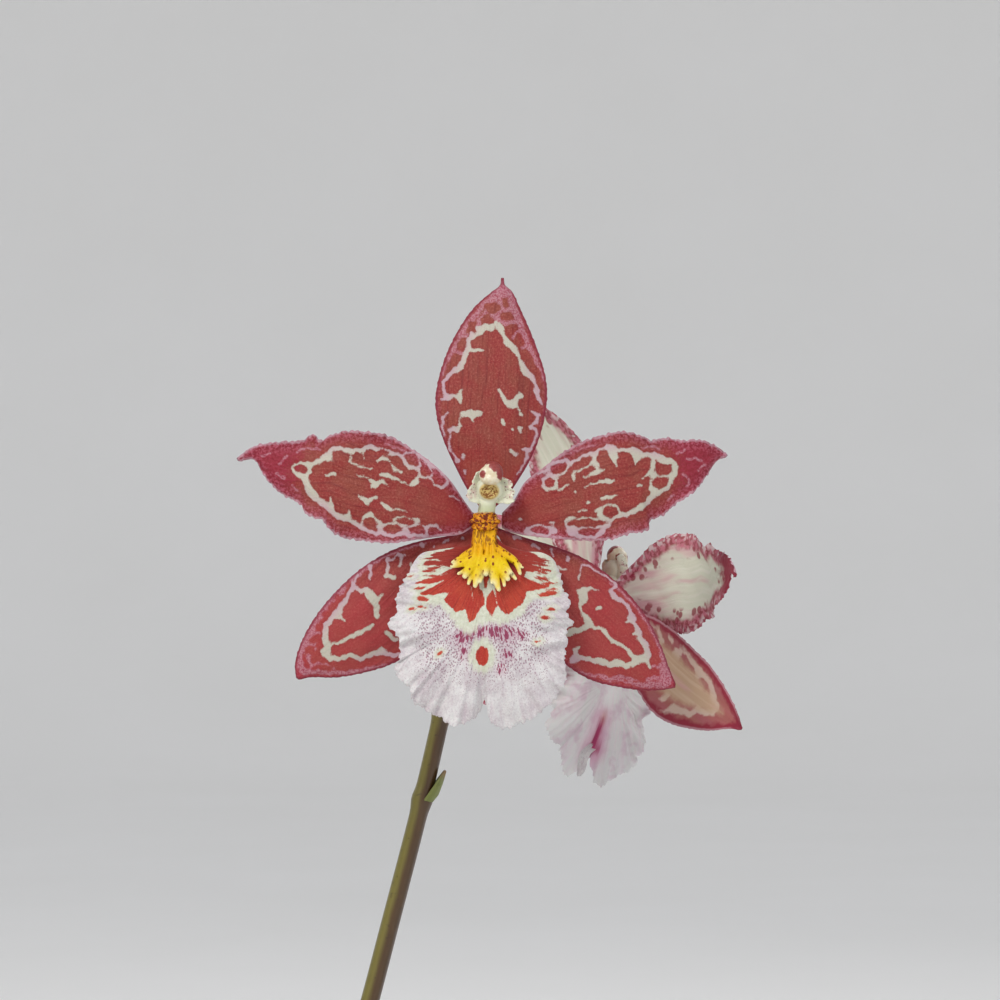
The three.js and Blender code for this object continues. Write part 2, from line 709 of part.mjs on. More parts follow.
// The lip hangs from the heart and spreads into one broad blade, with two shoulders and a notch at its
// foot. In the second bloom it leans and bends back, and a small tongue stands in the deeper notch.
const LIP_MIDDLE = [-1.5, -18];
const NOTCH_X = -1.1;
const TONGUE = { z: -34.4, radii: [1.5, 1, 3.8] };
const LIP_OUTLINE = [
  [-3.3, -2.6], [-4.2, -4.4], [-7, -5], [-11, -5.6], [-13.7, -6.3], [-15.4, -8.3], [-16.5, -10.8],
  [-18.1, -13.2], [-18.6, -15.5], [-18.5, -17.7], [-20.2, -20], [-18.5, -22.5], [-17.8, -25],
  [-17.9, -27.6], [-19.1, -28.7], [-17.8, -31.2], [-15.8, -33.2], [-15, -35.7], [-12.8, -37.3],
  [-10, -38.7], [-8, -40.2], [-5.5, -40], [-3, -38.8], [-1.7, -37], [-1.1, -35.4], [-0.6, -36.8],
  [0, -39.3], [1.6, -40.7], [3.8, -40.8], [6.2, -40], [8.8, -38.6], [11.4, -36.6], [13.5, -34.2],
  [14.9, -31.8], [15, -28.6], [14.8, -25.8], [15.5, -23.2], [15.2, -21.5], [16.5, -20], [15.4, -18.3],
  [15.8, -15.8], [14.7, -13.2], [14.1, -11.2], [13.6, -9.3], [12.5, -7.3], [10.4, -6.1], [7, -5.8],
  [4.2, -5], [2.5, -4.2], [1.4, -2.6],
];

const FIRST_LIP = { lean: 0, tipBack: 2.6, notch: 0, tongue: false };
const SECOND_LIP = { lean: 2.5, tipBack: 6, notch: 3.2, tongue: true };
const SECOND_LIP_TURN = THREE.MathUtils.degToRad(-5);

function lipDepth({ lean, tipBack }, x, z, reach, angle) {
  const down = THREE.MathUtils.clamp((-z - 2.4) / 38, 0, 1);
  const side = (x + 1.3) / 17;
  const bulge = Math.sin(Math.PI * Math.min(1, down * 1.05) * 0.62);
  const forward = -3.2 - 5.4 * bulge + lean * down + tipBack * Math.pow(down, 3);
  const sideBack = 2.9 * side * side * (1 - 0.45 * down);
  const ruffle = 0.75 * Math.pow(reach, 4) * Math.sin(11 * angle + 0.6);
  return forward + sideBack + ruffle;
}

function lipSolid(style) {
  const spokes = 46;
  const rings = 3;
  const raised = ([x, z]) => [x, z < -33 ? z + style.notch * Math.exp(-(((x - NOTCH_X) / 2.4) ** 2)) : z];
  const outline = LIP_OUTLINE.map(raised);
  const closed = [...outline, outline[0]];
  const half = PETAL_THICKNESS / 2;
  const perFace = 1 + spokes * rings;
  const face = (offset) => {
    const points = [LIP_MIDDLE[0], lipDepth(style, ...LIP_MIDDLE, 0, 0) + offset, LIP_MIDDLE[1]];
    for (let ring = 1; ring <= rings; ring++) {
      const reach = Math.sqrt(ring / rings);
      for (let spoke = 0; spoke < spokes; spoke++) {
        const edge = alongEdge(closed, spoke / spokes);
        const x = LIP_MIDDLE[0] + (edge[0] - LIP_MIDDLE[0]) * reach;
        const z = LIP_MIDDLE[1] + (edge[1] - LIP_MIDDLE[1]) * reach;
        points.push(x, lipDepth(style, x, z, reach, (2 * Math.PI * spoke) / spokes) + offset, z);
      }
    }
    return points;
  };
  const position = [...face(-half), ...face(half)];
  const index = [];
  const vertex = (ring, spoke) => 1 + (ring - 1) * spokes + (spoke % spokes);
  for (let spoke = 0; spoke < spokes; spoke++) {
    index.push(0, vertex(1, spoke), vertex(1, spoke + 1));
    index.push(perFace, perFace + vertex(1, spoke + 1), perFace + vertex(1, spoke));
    for (let ring = 1; ring < rings; ring++) {
      const [a, b] = [vertex(ring, spoke), vertex(ring + 1, spoke)];
      const [c, d] = [vertex(ring + 1, spoke + 1), vertex(ring, spoke + 1)];
      index.push(a, b, c, a, c, d);
      index.push(perFace + a, perFace + c, perFace + b, perFace + a, perFace + d, perFace + c);
    }
    const [a, b] = [vertex(rings, spoke), vertex(rings, spoke + 1)];
    index.push(a, perFace + a, perFace + b, a, perFace + b, b);
  }
  const blade = solidOf(closedGeometry(position, index));
  if (!style.tongue) {
    return blade;
  }
  const behind = lipDepth(style, NOTCH_X, TONGUE.z, 0.8, 0) + 0.9;
  return blade.add(ellipsoid([NOTCH_X, behind, TONGUE.z], TONGUE.radii, 8, 6));
}

// The yellow crest on the lip: one ridged body whose teeth fan out over the blade. Each tooth runs from a
// point on the body to its tip, given as x and z, and lift is how far its tip stands off the lip.
const CREST_CLEARANCE = GAP + 0.15;
const CREST_TEETH = [
  { from: [-2.1, -3.3], to: [-2.2, -10], thick: 1.4, lift: 0.6 },
  { from: [-0.1, -3.3], to: [-0.3, -10], thick: 1.4, lift: 0.6 },
  { from: [-2.2, -5.5], to: [-7.8, -7.9], thick: 0.8, lift: 0.5 },
  { from: [-2.4, -6.5], to: [-7.1, -9.3], thick: 0.9, lift: 0.4 },
  { from: [-2.2, -7], to: [-5.3, -11.2], thick: 1.2, lift: 0.6 },
  { from: [-1.8, -7.5], to: [-3.2, -12.7], thick: 1.25, lift: 0.5 },
  { from: [-0.4, -7.5], to: [1.8, -13.4], thick: 1.15, lift: 0.8 },
  { from: [0, -7], to: [3.7, -11.7], thick: 1.2, lift: 0.7 },
  { from: [0.2, -5.5], to: [5.7, -10.2], thick: 1, lift: 0.8 },
  { from: [0.4, -5], to: [4.9, -7.7], thick: 0.75, lift: 0.6 },
];

function crestSolid(style) {
  const teeth = CREST_TEETH.map(({ from, to, thick, lift }) => {
    const pointAt = (t) => {
      const [x, z] = [from[0] + (to[0] - from[0]) * t, from[1] + (to[1] - from[1]) * t];
      const clear = PETAL_THICKNESS / 2 + CREST_CLEARANCE + thick + lift * t * t;
      return new THREE.Vector3(x, lipDepth(style, x, z, 0, 0) - clear, z);
    };
    const curve = curveThrough([0, 0.35, 0.7, 1].map(pointAt));
    return solidOf(tubeGeometry(curve, (t) => thick * (1 - 0.62 * t * t), 5, 2));
  });
  return union(teeth);
}

// The column stands up from the heart: a swollen spotted foot, a pale neck, and a hooded head with a wing
// on each side and the hollow of the stigma in front.
const COLUMN_FOOT = { centre: [-1, -3, 0.3], radii: [3, 2.5, 2] };
const COLUMN_NECK = [
  [-1, -3, 0],
  [-0.7, -4.3, 2.4],
  [-0.3, -6, 6],
];
const COLUMN_HEAD = { centre: [0, -6.4, 6.3], radii: [3.1, 2.3, 2.7] };
const STIGMA = { centre: [-0.2, -9.6, 5.8], radii: [2, 2, 1.9] };
const WING_THICKNESS = 0.8;
const WING_BACK = -5.9;
const COLUMN_WINGS = [
  [
    [1.4, 4.4], [3, 4.1], [4.4, 3.7], [4.8, 4.6], [4.4, 5.4], [4.9, 6.3], [4.3, 7.1], [4, 8], [2.8, 8.4],
    [1.4, 8],
  ],
  [
    [-1.4, 8.6], [-2.4, 9.8], [-3.3, 8.6], [-3.7, 7.5], [-4.4, 6.5], [-4.3, 5.8], [-4.8, 5], [-4.3, 4.2],
    [-1.4, 4.4],
  ],
];

function columnSolid() {
  const core = new THREE.CylinderGeometry(HEART_RADIUS, HEART_RADIUS, HEART_LENGTH, 12);
  core.translate(HEART[0], HEART_MIDDLE, HEART[1]);
  const foot = ellipsoid(COLUMN_FOOT.centre, COLUMN_FOOT.radii, 10, 6);
  const neck = tubeGeometry(curveThrough(COLUMN_NECK), (t) => 2 - 0.35 * t, 7, 3);
  const head = ellipsoid(COLUMN_HEAD.centre, COLUMN_HEAD.radii, 10, 7);
  const wings = COLUMN_WINGS.map((outline) => {
    const shape = new THREE.Shape(outline.map(([x, z]) => new THREE.Vector2(x, z)));
    const wing = new THREE.ExtrudeGeometry(shape, { depth: WING_THICKNESS, bevelEnabled: false });
    return solidOf(wing.rotateX(Math.PI / 2).translate(0, WING_BACK, 0));
  });
  const stigma = ellipsoid(STIGMA.centre, STIGMA.radii, 8, 5);
  return cut(union([solidOf(core), foot, solidOf(neck), head, ...wings]), [stigma]);
}

// The cap sits on the head and in front of the wings.
const CAP = { centre: [0.3, -7.6, 9.5], radii: [2.55, 2.3, 2.5] };
const WING_SPAN = 9.8;
const WING_MIDDLE = 7;
const WING_HEIGHT = 6.7;

function antherCapSolid() {
  const cap = ellipsoid(CAP.centre, CAP.radii, 10, 7);
  const seat = ellipsoid(COLUMN_HEAD.centre, COLUMN_HEAD.radii.map((radius) => radius + GAP), 10, 7);
  const wings = new THREE.BoxGeometry(WING_SPAN, WING_THICKNESS + 2 * GAP, WING_HEIGHT);
  wings.translate(0, WING_BACK - WING_THICKNESS / 2, WING_MIDDLE);
  return cut(cap, [seat, solidOf(wings)]);
}

// Where a bloom's stalk ends, a gap behind its heart.
const HEART_BACK = HEART_MIDDLE + HEART_LENGTH / 2 + 2 * GAP;

function behindHeart(bloomAt, turn, scale) {
  const back = new THREE.Vector3(HEART[0], HEART_BACK, HEART[1]).multiplyScalar(scale);
  return back.applyAxisAngle(new THREE.Vector3(0, 0, 1), turn).add(bloomAt);
}

function bloom(name, tepals, lip, lipTurn) {
  const group = new THREE.Group();
  const lipGroup = new THREE.Group();
  lipGroup.rotation.y = lipTurn;
  group.add(lipGroup);
  for (const [part, tepal] of Object.entries(tepals)) {
    addNode(group, `${name}_${part}`, tepalSolid(tepal), MATERIALS.tepal);
  }
  addNode(lipGroup, `${name}_lip`, lipSolid(lip), MATERIALS.lip);
  addNode(lipGroup, `${name}_crest`, crestSolid(lip), MATERIALS.callus);
  addNode(group, `${name}_column`, columnSolid(), MATERIALS.column);
  addNode(group, `${name}_anther_cap`, antherCapSolid(), MATERIALS.cap);
  return group;
}

// Each leaf that rises from the bark stands in a hole of its own.
const LEAF_HOLE_RADIUS = 6.4;
const LEAF_HOLE_DEPTH = 20;

function leafHole({ from }) {
  const hole = new THREE.CylinderGeometry(LEAF_HOLE_RADIUS, LEAF_HOLE_RADIUS, LEAF_HOLE_DEPTH, 10);
  hole.rotateX(Math.PI / 2);
  return solidOf(hole.translate(from[0], from[1], from[2] + LEAF_HOLE_DEPTH / 2 - 0.5));
}

// The whole plant in its pot.
function plant() {
  const group = new THREE.Group();
  const rhizome = rhizomeSolid();
  const rhizomeSeat = rhizomeSolid(GAP);
  const bulbSeats = Object.values(BULBS).map((bulb) => bulbSolid(bulb, GAP));
  const spikeSeat = spikeSolid(GAP);
  const spike = cut(spikeSolid(), [...bulbSeats, rhizomeSeat]);
  addNode(group, "clay_pot", potSolid(), MATERIALS.clay);
  addNode(group, "rhizome_and_roots", rhizome, MATERIALS.root);
  for (const [name, bulb] of Object.entries(BULBS)) {
    addNode(group, `${name}_pseudobulb`, cut(bulbSolid(bulb), [rhizomeSeat]), MATERIALS.bulb);
  }
  const leafSeats = [...bulbSeats, spikeSeat, rhizomeSeat];
  for (const [name, leaf] of Object.entries(LEAVES)) {
    addNode(group, name, leafSolid(leaf, leafSeats), MATERIALS.leaf);
  }
  addNode(group, "flower_spike", spike, MATERIALS.spike);
  for (const [name, scale] of Object.entries(SCALES)) {
    addNode(group, name, scaleSolid(scale, spikeSeat), MATERIALS.bract);
  }
  const sunkLeaves = Object.values(LEAVES).filter((leaf) => leaf.from[2] < BARK_TOP);
  const barkHoles = [...bulbSeats, rhizomeSeat, spikeSeat, ...sunkLeaves.map(leafHole)];
  addNode(group, "bark_mix", barkSolid(barkHoles), MATERIALS.bark);

  const first = bloom("first_bloom", TEPALS, FIRST_LIP, 0);
  first.position.copy(FIRST_BLOOM_AT);
  group.add(first);
  const second = bloom("second_bloom", variedTepals(SECOND_BLOOM_TEPALS), SECOND_LIP, SECOND_LIP_TURN);
  second.position.copy(SECOND_BLOOM_AT);
  second.rotation.z = SECOND_BLOOM_TURN;
  second.scale.setScalar(SECOND_BLOOM_SCALE);
  group.add(second);

  const firstStalk = [...FIRST_STALK_ROUTE, behindHeart(FIRST_BLOOM_AT, 0, 1)];
  const secondEnd = behindHeart(SECOND_BLOOM_AT, SECOND_BLOOM_TURN, SECOND_BLOOM_SCALE);
  const secondStalk = [...SECOND_STALK_ROUTE, secondEnd];
  addNode(group, "first_bloom_stalk", stalkSolid(firstStalk, spikeSeat), MATERIALS.spike);
  addNode(group, "second_bloom_stalk", stalkSolid(secondStalk, spikeSeat), MATERIALS.spike);
  return group;
}

const orchid = plant();

export default orchid;
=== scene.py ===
import math

import bpy
import numpy as np
from mathutils import Matrix, Vector


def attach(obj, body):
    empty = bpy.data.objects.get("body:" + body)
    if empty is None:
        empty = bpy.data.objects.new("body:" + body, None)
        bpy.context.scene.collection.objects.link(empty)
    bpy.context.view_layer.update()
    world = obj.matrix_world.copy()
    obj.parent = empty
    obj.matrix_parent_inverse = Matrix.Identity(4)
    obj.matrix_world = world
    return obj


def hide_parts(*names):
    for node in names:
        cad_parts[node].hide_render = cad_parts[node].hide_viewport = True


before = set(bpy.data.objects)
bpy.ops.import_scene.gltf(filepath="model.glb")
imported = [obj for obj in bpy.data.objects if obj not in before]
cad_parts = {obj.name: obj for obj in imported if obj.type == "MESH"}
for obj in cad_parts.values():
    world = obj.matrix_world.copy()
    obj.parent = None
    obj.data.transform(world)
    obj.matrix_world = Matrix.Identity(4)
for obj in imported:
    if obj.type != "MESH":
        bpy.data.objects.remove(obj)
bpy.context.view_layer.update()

# The studio: a pale floor of painted board that curves up into a low wall all round, two large soft lamps
# in front and one behind, and a camera level with the first bloom, square on to its face.
MM = 0.001
WELD_GAP = 2e-6
FIRST_BLOOM_AT = np.array([28.0, -38.0, 410.0])
EYE_DISTANCE = 700.0
FRAME_WIDTH = 200.0
SENSOR = 36.0
LAMP_AIM = (0.02, 0, 0.36)


def skin(name, rows, columns, place):
    """A grid of quads laid out by place(u, v), which takes arrays from 0 to 1 and gives points in mm."""
    bpy.ops.object.select_all(action="DESELECT")
    bpy.ops.mesh.primitive_grid_add(x_subdivisions=rows, y_subdivisions=columns, size=1)
    piece = bpy.context.object
    piece.name = piece.data.name = name
    flat = np.empty(len(piece.data.vertices) * 3)
    piece.data.vertices.foreach_get("co", flat)
    u, v = flat[0::3] + 0.5, flat[1::3] + 0.5
    piece.data.vertices.foreach_set("co", (place(u, v) * MM).ravel())
    piece.data.update()
    return piece, u, v


def pick(*pieces):
    """Selects these pieces alone, and makes the first one the piece to work on."""
    bpy.ops.object.select_all(action="DESELECT")
    for piece in pieces:
        piece.select_set(True)
    bpy.context.view_layer.objects.active = pieces[0]


def weld(piece):
    """Joins the points that meet, such as a tube's seam and poles, and turns the faces out."""
    pick(piece)
    bpy.ops.object.mode_set(mode="EDIT")
    bpy.ops.mesh.select_all(action="SELECT")
    bpy.ops.mesh.remove_doubles(threshold=WELD_GAP)
    bpy.ops.mesh.normals_make_consistent(inside=False)
    bpy.ops.object.mode_set(mode="OBJECT")
    bpy.ops.object.shade_smooth()


def tone(red, green, blue):
    """A colour by its screen values, as the shader takes it."""
    linear = [((c / 255 + 0.055) / 1.055) ** 2.4 if c > 10 else c / 3295 for c in (red, green, blue)]
    return (*linear, 1.0)


class Finish:
    """A material made step by step. Each method adds a node and returns the socket for the next one."""

    def __init__(self, name, roughness, **sockets):
        self.material = bpy.data.materials.new(name)
        self.material.use_nodes = True
        self.tree = self.material.node_tree
        self.shader = self.tree.nodes["Principled BSDF"]
        self.shader.inputs["Roughness"].default_value = roughness
        for socket, value in sockets.items():
            self.shader.inputs[socket.replace("_", " ")].default_value = value

    def add(self, kind, inputs, settings=None):
        node = self.tree.nodes.new(kind)
        for key, value in (settings or {}).items():
            setattr(node, key, value)
        for key, value in inputs.items():
            if isinstance(value, bpy.types.NodeSocket):
                self.tree.links.new(value, node.inputs[key])
            else:
                node.inputs[key].default_value = value
        return node

    def place(self):
        return self.add("ShaderNodeTexCoord", {}).outputs["Object"]

    def read(self, attribute, output="Fac"):
        return self.add("ShaderNodeAttribute", {}, {"attribute_name": attribute}).outputs[output]

    def height(self, vector):
        return self.add("ShaderNodeSeparateXYZ", {"Vector": vector}).outputs["Z"]

    def stretch(self, vector, scale):
        return self.add("ShaderNodeMapping", {"Vector": vector, "Scale": scale}).outputs["Vector"]

    def noise(self, vector, scale, detail=3.0, roughness=0.55, distortion=0.0):
        inputs = {"Vector": vector, "Scale": scale, "Detail": detail, "Roughness": roughness}
        inputs["Distortion"] = distortion
        return self.add("ShaderNodeTexNoise", inputs).outputs["Fac"]

    def cells(self, vector, scale):
        return self.add("ShaderNodeTexVoronoi", {"Vector": vector, "Scale": scale}).outputs["Distance"]

    def maths(self, operation, first, second=0.0):
        return self.add("ShaderNodeMath", {0: first, 1: second}, {"operation": operation}).outputs[0]

    def plus(self, first, second):
        return self.maths("ADD", first, second)

    def times(self, first, second):
        return self.maths("MULTIPLY", first, second)

    def swing(self, noise, width):
        """A noise as a swing to both sides of nothing."""
        return self.times(self.maths("SUBTRACT", noise, 0.5), width)

    def step(self, value, none, full):
        """Goes smoothly from 0 where the value is none to 1 where it is full."""
        inputs = {"Value": value, "From Min": none, "From Max": full}
        return self.add("ShaderNodeMapRange", inputs, {"interpolation_type": "SMOOTHSTEP"}).outputs[0]

    def mix(self, share, first, second):
        node = self.add("ShaderNodeMix", {}, {"data_type": "RGBA"})
        for index, value in ((0, share), (6, first), (7, second)):
            if isinstance(value, bpy.types.NodeSocket):
                self.tree.links.new(value, node.inputs[index])
            else:
                node.inputs[index].default_value = value
        return node.outputs[2]

    def wash(self, under, share, strength, over):
        """Lays one colour thinly over another."""
        return self.mix(self.times(share, strength), under, over)

    def colour(self, socket):
        self.tree.links.new(socket, self.shader.inputs["Base Color"])

    def relief(self, height, distance_mm, strength=1.0):
        inputs = {"Height": height, "Distance": distance_mm * MM, "Strength": strength}
        bump = self.add("ShaderNodeBump", inputs)
        self.tree.links.new(bump.outputs["Normal"], self.shader.inputs["Normal"])


def floor_point(u, v):
    """The floor and its wall, by the share out from the middle and the share round."""
    flat, bend, wall = 4200.0, 1600.0, 1800.0
    run = u * (flat + bend * math.pi / 2 + wall)
    angle = np.clip((run - flat) / bend, 0, math.pi / 2)
    radius = np.minimum(run, flat) + bend * np.sin(angle)
    height = bend * (1 - np.cos(angle)) + np.maximum(run - flat - bend * math.pi / 2, 0)
    return np.stack([radius * np.cos(2 * math.pi * v), radius * np.sin(2 * math.pi * v), height], 1)


floor, _, _ = skin("studio_floor", 60, 96, floor_point)
weld(floor)
board = Finish("painted_board", 0.75)
board.colour(board.mix(board.noise(board.place(), 3.0), tone(236, 235, 232), tone(241, 240, 238)))
floor.data.materials.append(board.material)


def lamp(name, at, aim, size, power, warmth):
    light = bpy.data.lights.new(name, "AREA")
    light.shape, light.size, light.energy, light.color = "DISK", size, power, warmth
    holder = bpy.data.objects.new(name, light)
    holder.location = at
    holder.rotation_euler = (Vector(aim) - Vector(at)).to_track_quat("-Z", "Y").to_euler()
    bpy.context.collection.objects.link(holder)


lamp("soft_key", (-0.85, -1.35, 1.75), LAMP_AIM, 0.7, 25, (1.0, 0.975, 0.94))
lamp("soft_fill", (1.3, -1.3, 0.9), LAMP_AIM, 1.1, 6, (0.95, 0.97, 1.0))
lamp("soft_rear", (0.6, 1.5, 1.5), LAMP_AIM, 1.0, 9, (1.0, 0.99, 0.97))
sky = bpy.data.worlds.new("sky")
sky.use_nodes = True
sky.node_tree.nodes["Background"].inputs["Color"].default_value = (0.93, 0.95, 1.0, 1.0)
sky.node_tree.nodes["Background"].inputs["Strength"].default_value = 0.7
bpy.context.scene.world = sky
bpy.context.scene.view_settings.view_transform = "Standard"

camera = bpy.data.cameras.new("camera")
camera.sensor_width = SENSOR
camera.lens = SENSOR * EYE_DISTANCE / FRAME_WIDTH
eye = bpy.data.objects.new("camera", camera)
eye.location = (FIRST_BLOOM_AT + np.array([2.0, -EYE_DISTANCE, 4.4])) * MM
eye.rotation_euler = (math.pi / 2, 0, 0)
bpy.context.collection.objects.link(eye)
bpy.context.scene.camera = eye

# The clay pot: thrown from red earthenware and fired without a glaze, with a thick rolled rim and five
# drainage holes in its floor. Its walls show faint turning marks and a chalky bloom where water has dried.
POT_HEIGHT = 112.0
POT_RIM_RADIUS = 64.0
POT_FOOT_RADIUS = 43.5
POT_FLOOR = 6.0
DRAIN_HOLES = 5
DRAIN_CIRCLE = 22.0
DRAIN_RADIUS = 4.5


def apply(piece, kind, **settings):
    """Adds a modifier and applies it at once."""
    pick(piece)
    modifier = piece.modifiers.new(kind.lower(), kind)
    for setting, value in settings.items():
        setattr(modifier, setting, value)
    bpy.ops.object.modifier_apply(modifier=modifier.name)


def wall_radius(height):
    """The inside of the pot."""
    rise = (height - POT_FLOOR) / (POT_HEIGHT - POT_FLOOR)
    return POT_FOOT_RADIUS - 4 + rise * (POT_RIM_RADIUS - POT_FOOT_RADIUS - 1)


def pot_point(u, v):
    """The skin of the pot, from the middle of its foot over the rim to the middle of its floor."""
    outline = [
        (0, 0), (POT_FOOT_RADIUS - 3, 0), (POT_FOOT_RADIUS - 0.8, 0.4), (POT_FOOT_RADIUS, 1.8),
        (POT_RIM_RADIUS - 6.6, 83), (POT_RIM_RADIUS - 6, 85.6), (POT_RIM_RADIUS - 4.6, 86.4),
        (POT_RIM_RADIUS - 2.6, 86.8), (POT_RIM_RADIUS - 1.8, 88.2), (POT_RIM_RADIUS - 0.1, 109.4),
        (POT_RIM_RADIUS - 0.5, 111.2), (POT_RIM_RADIUS - 1.6, POT_HEIGHT), (POT_RIM_RADIUS - 3.4, POT_HEIGHT),
        (POT_RIM_RADIUS - 4.6, 111.3), (wall_radius(109), 109), (wall_radius(9), 9),
        (wall_radius(6.6) - 1.2, 6.6), (wall_radius(POT_FLOOR) - 3, POT_FLOOR), (0, POT_FLOOR),
    ]
    bends = np.array(outline, float)
    share = np.linspace(0, 1, len(bends))
    radius, height = np.interp(u, share, bends[:, 0]), np.interp(u, share, bends[:, 1])
    turning = 0.12 * np.sin(height * 1.9) * (height > 3) * (radius > 30)
    radius = radius + turning
    return np.stack([radius * np.cos(2 * math.pi * v), radius * np.sin(2 * math.pi * v), height], 1)


pot, _, _ = skin("clay_pot_thrown", 18 * 7, 120, pot_point)
weld(pot)
for hole in range(DRAIN_HOLES):
    angle = 2 * math.pi * hole / DRAIN_HOLES
    spot = (DRAIN_CIRCLE * math.cos(angle) * MM, DRAIN_CIRCLE * math.sin(angle) * MM, POT_FLOOR / 2 * MM)
    bpy.ops.object.select_all(action="DESELECT")
    bpy.ops.mesh.primitive_cylinder_add(vertices=40, radius=DRAIN_RADIUS * MM, depth=0.03, location=spot)
    drill = bpy.context.object
    apply(pot, "BOOLEAN", object=drill, operation="DIFFERENCE", solver="EXACT")
    bpy.data.objects.remove(drill)
bpy.ops.object.shade_smooth_by_angle(angle=math.radians(40))
clay = Finish("fired_clay", 0.86)
spot = clay.place()
body = clay.mix(clay.noise(spot, 38.0, 4.0), tone(176, 92, 60), tone(197, 113, 77))
lines = clay.noise(clay.stretch(spot, (6.0, 6.0, 420.0)), 1.0, 2.0)
body = clay.mix(clay.step(lines, 0.5, 0.8), body, tone(168, 84, 55))
chalk = clay.step(clay.noise(spot, 17.0, 6.0, 0.7), 0.56, 0.74)
body = clay.wash(body, chalk, 0.55, tone(214, 160, 132))
grit = clay.noise(spot, 900.0, 2.0)
clay.colour(clay.mix(clay.step(grit, 0.66, 0.8), body, tone(150, 74, 50)))
clay.relief(clay.plus(clay.times(grit, 0.5), lines), 0.35, 0.6)
pot.data.materials.append(clay.material)
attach(pot, "root")
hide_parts("clay_pot")

# The bark mix: graded chips of fir bark over a filling of the same. Each chip is a cracked, weathered flake
# with split edges, dropped in at random and left as it fell, clear of the bulbs.
BARK_TOP = 97.0
CHIPS_DROPPED = 330
BULB_BASE = BARK_TOP - 4
BULB_FLATNESS = 0.53
BULBS = {
    "flowering": {"at": (4, -10), "height": 74.0, "width": 19.5, "turn": 0.15, "lean": (0.06, -0.03)},
    "older": {"at": (-25, 13), "height": 66.0, "width": 18.0, "turn": -0.3, "lean": (-0.12, 0.04)},
    "oldest": {"at": (23, 20), "height": 57.0, "width": 16.5, "turn": 0.35, "lean": (0.1, 0.08)},
}


def filling_point(u, v):
    """The skin of the filling, with a lumpy top."""
    outline = np.array([
        (0, 6.4), (wall_radius(6.4) - 3.5, 6.4), (wall_radius(10) - 1, 10),
        (wall_radius(BARK_TOP) - 1, BARK_TOP - 1.5), (wall_radius(BARK_TOP) * 0.5, BARK_TOP - 0.5),
        (0, BARK_TOP),
    ])
    share = np.linspace(0, 1, len(outline))
    radius, height = np.interp(u, share, outline[:, 0]), np.interp(u, share, outline[:, 1])
    angle = 2 * math.pi * v
    lumps = np.sin(radius * 0.55 + 3 * np.sin(2 * angle)) * np.cos(5 * angle + radius * 0.3)
    height = height + 1.2 * lumps * (height > 90) * (radius > 4)
    return np.stack([radius * np.cos(angle), radius * np.sin(angle), height], 1)


def taken(x, y, spare):
    """Whether a chip at this place would stand inside a bulb."""
    for bulb in BULBS.values():
        dx, dy = x - bulb["at"][0], y - bulb["at"][1]
        turn = bulb["turn"]
        across = (dx * math.cos(turn) + dy * math.sin(turn)) / (bulb["width"] * 0.62 + spare)
        deep = (dy * math.cos(turn) - dx * math.sin(turn)) / (bulb["width"] * BULB_FLATNESS * 0.62 + spare)
        if across**2 + deep**2 < 1:
            return True
    return False


draw = np.random.default_rng(11)
bark, _, _ = skin("bark_filling", 60, 90, filling_point)
weld(bark)
bpy.ops.object.select_all(action="DESELECT")
bpy.ops.mesh.primitive_cube_add(size=1)
flake = bpy.context.object
bpy.ops.object.mode_set(mode="EDIT")
bpy.ops.mesh.subdivide(number_cuts=3)
bpy.ops.object.mode_set(mode="OBJECT")
block = np.array([corner.co[:] for corner in flake.data.vertices])
facets = [list(face.vertices) for face in flake.data.polygons]
bpy.data.objects.remove(flake)
points, faces, tints = [], [], []
count = 0
for _ in range(CHIPS_DROPPED):
    reach = (wall_radius(BARK_TOP) - 6.5) * math.sqrt(draw.random())
    angle = 2 * math.pi * draw.random()
    x, y = reach * math.cos(angle), reach * math.sin(angle)
    size = np.array([draw.uniform(7, 15), draw.uniform(5, 9), draw.uniform(2.4, 5)])
    if taken(x, y, 1.5):
        continue
    edge = 1 - 0.34 * np.abs(block * 2) ** 3 @ np.array([[0, 1, 1], [1, 0, 1], [1, 1, 0]]) / 2
    ragged = 1 + 0.16 * draw.standard_normal(block.shape)
    layered = np.round(block[:, 2] * 3) * 0.03 * draw.standard_normal(len(block))
    chip = block * edge * ragged * size
    chip[:, 0] += layered * size[0]
    chip[:, 2] += 0.9 * np.sin(block[:, 0] * 3 + draw.uniform(0, 6))
    roll = Matrix.Rotation(draw.uniform(-0.5, 0.5), 3, "X")
    pitch = Matrix.Rotation(draw.uniform(-0.45, 0.45), 3, "Y")
    turned = Matrix.Rotation(draw.uniform(0, math.pi), 3, "Z") @ (roll @ pitch)
    height = BARK_TOP - 1.6 + 4.6 * draw.random() ** 1.5
    chip = chip @ np.array(turned).T + [x, y, height]
    excess = np.hypot(chip[:, 0], chip[:, 1]) / (wall_radius(BARK_TOP) - 0.8)
    chip[:, :2] /= np.maximum(excess, 1)[:, None]
    points.append(chip * MM)
    faces += [[corner + count for corner in facet] for facet in facets]
    tints.append(np.full(len(chip), draw.random()))
    count += len(chip)
chips = bpy.data.meshes.new("bark_chips")
chips.from_pydata(np.concatenate(points).tolist(), [], faces)
chips.attributes.new("tint", "FLOAT", "POINT").data.foreach_set("value", np.concatenate(tints))
heap = bpy.data.objects.new("bark_chips", chips)
bpy.context.collection.objects.link(heap)
weld(heap)
bpy.ops.object.shade_smooth_by_angle(angle=math.radians(32))
woody = Finish("fir_bark", 0.9)
spot = woody.place()
grain = woody.noise(woody.stretch(spot, (260.0, 260.0, 900.0)), 1.0, 5.0, 0.65)
tint = woody.read("tint")
light_side = woody.mix(tint, tone(104, 66, 44), tone(158, 112, 78))
dark_side = woody.mix(tint, tone(52, 32, 24), tone(86, 54, 38))
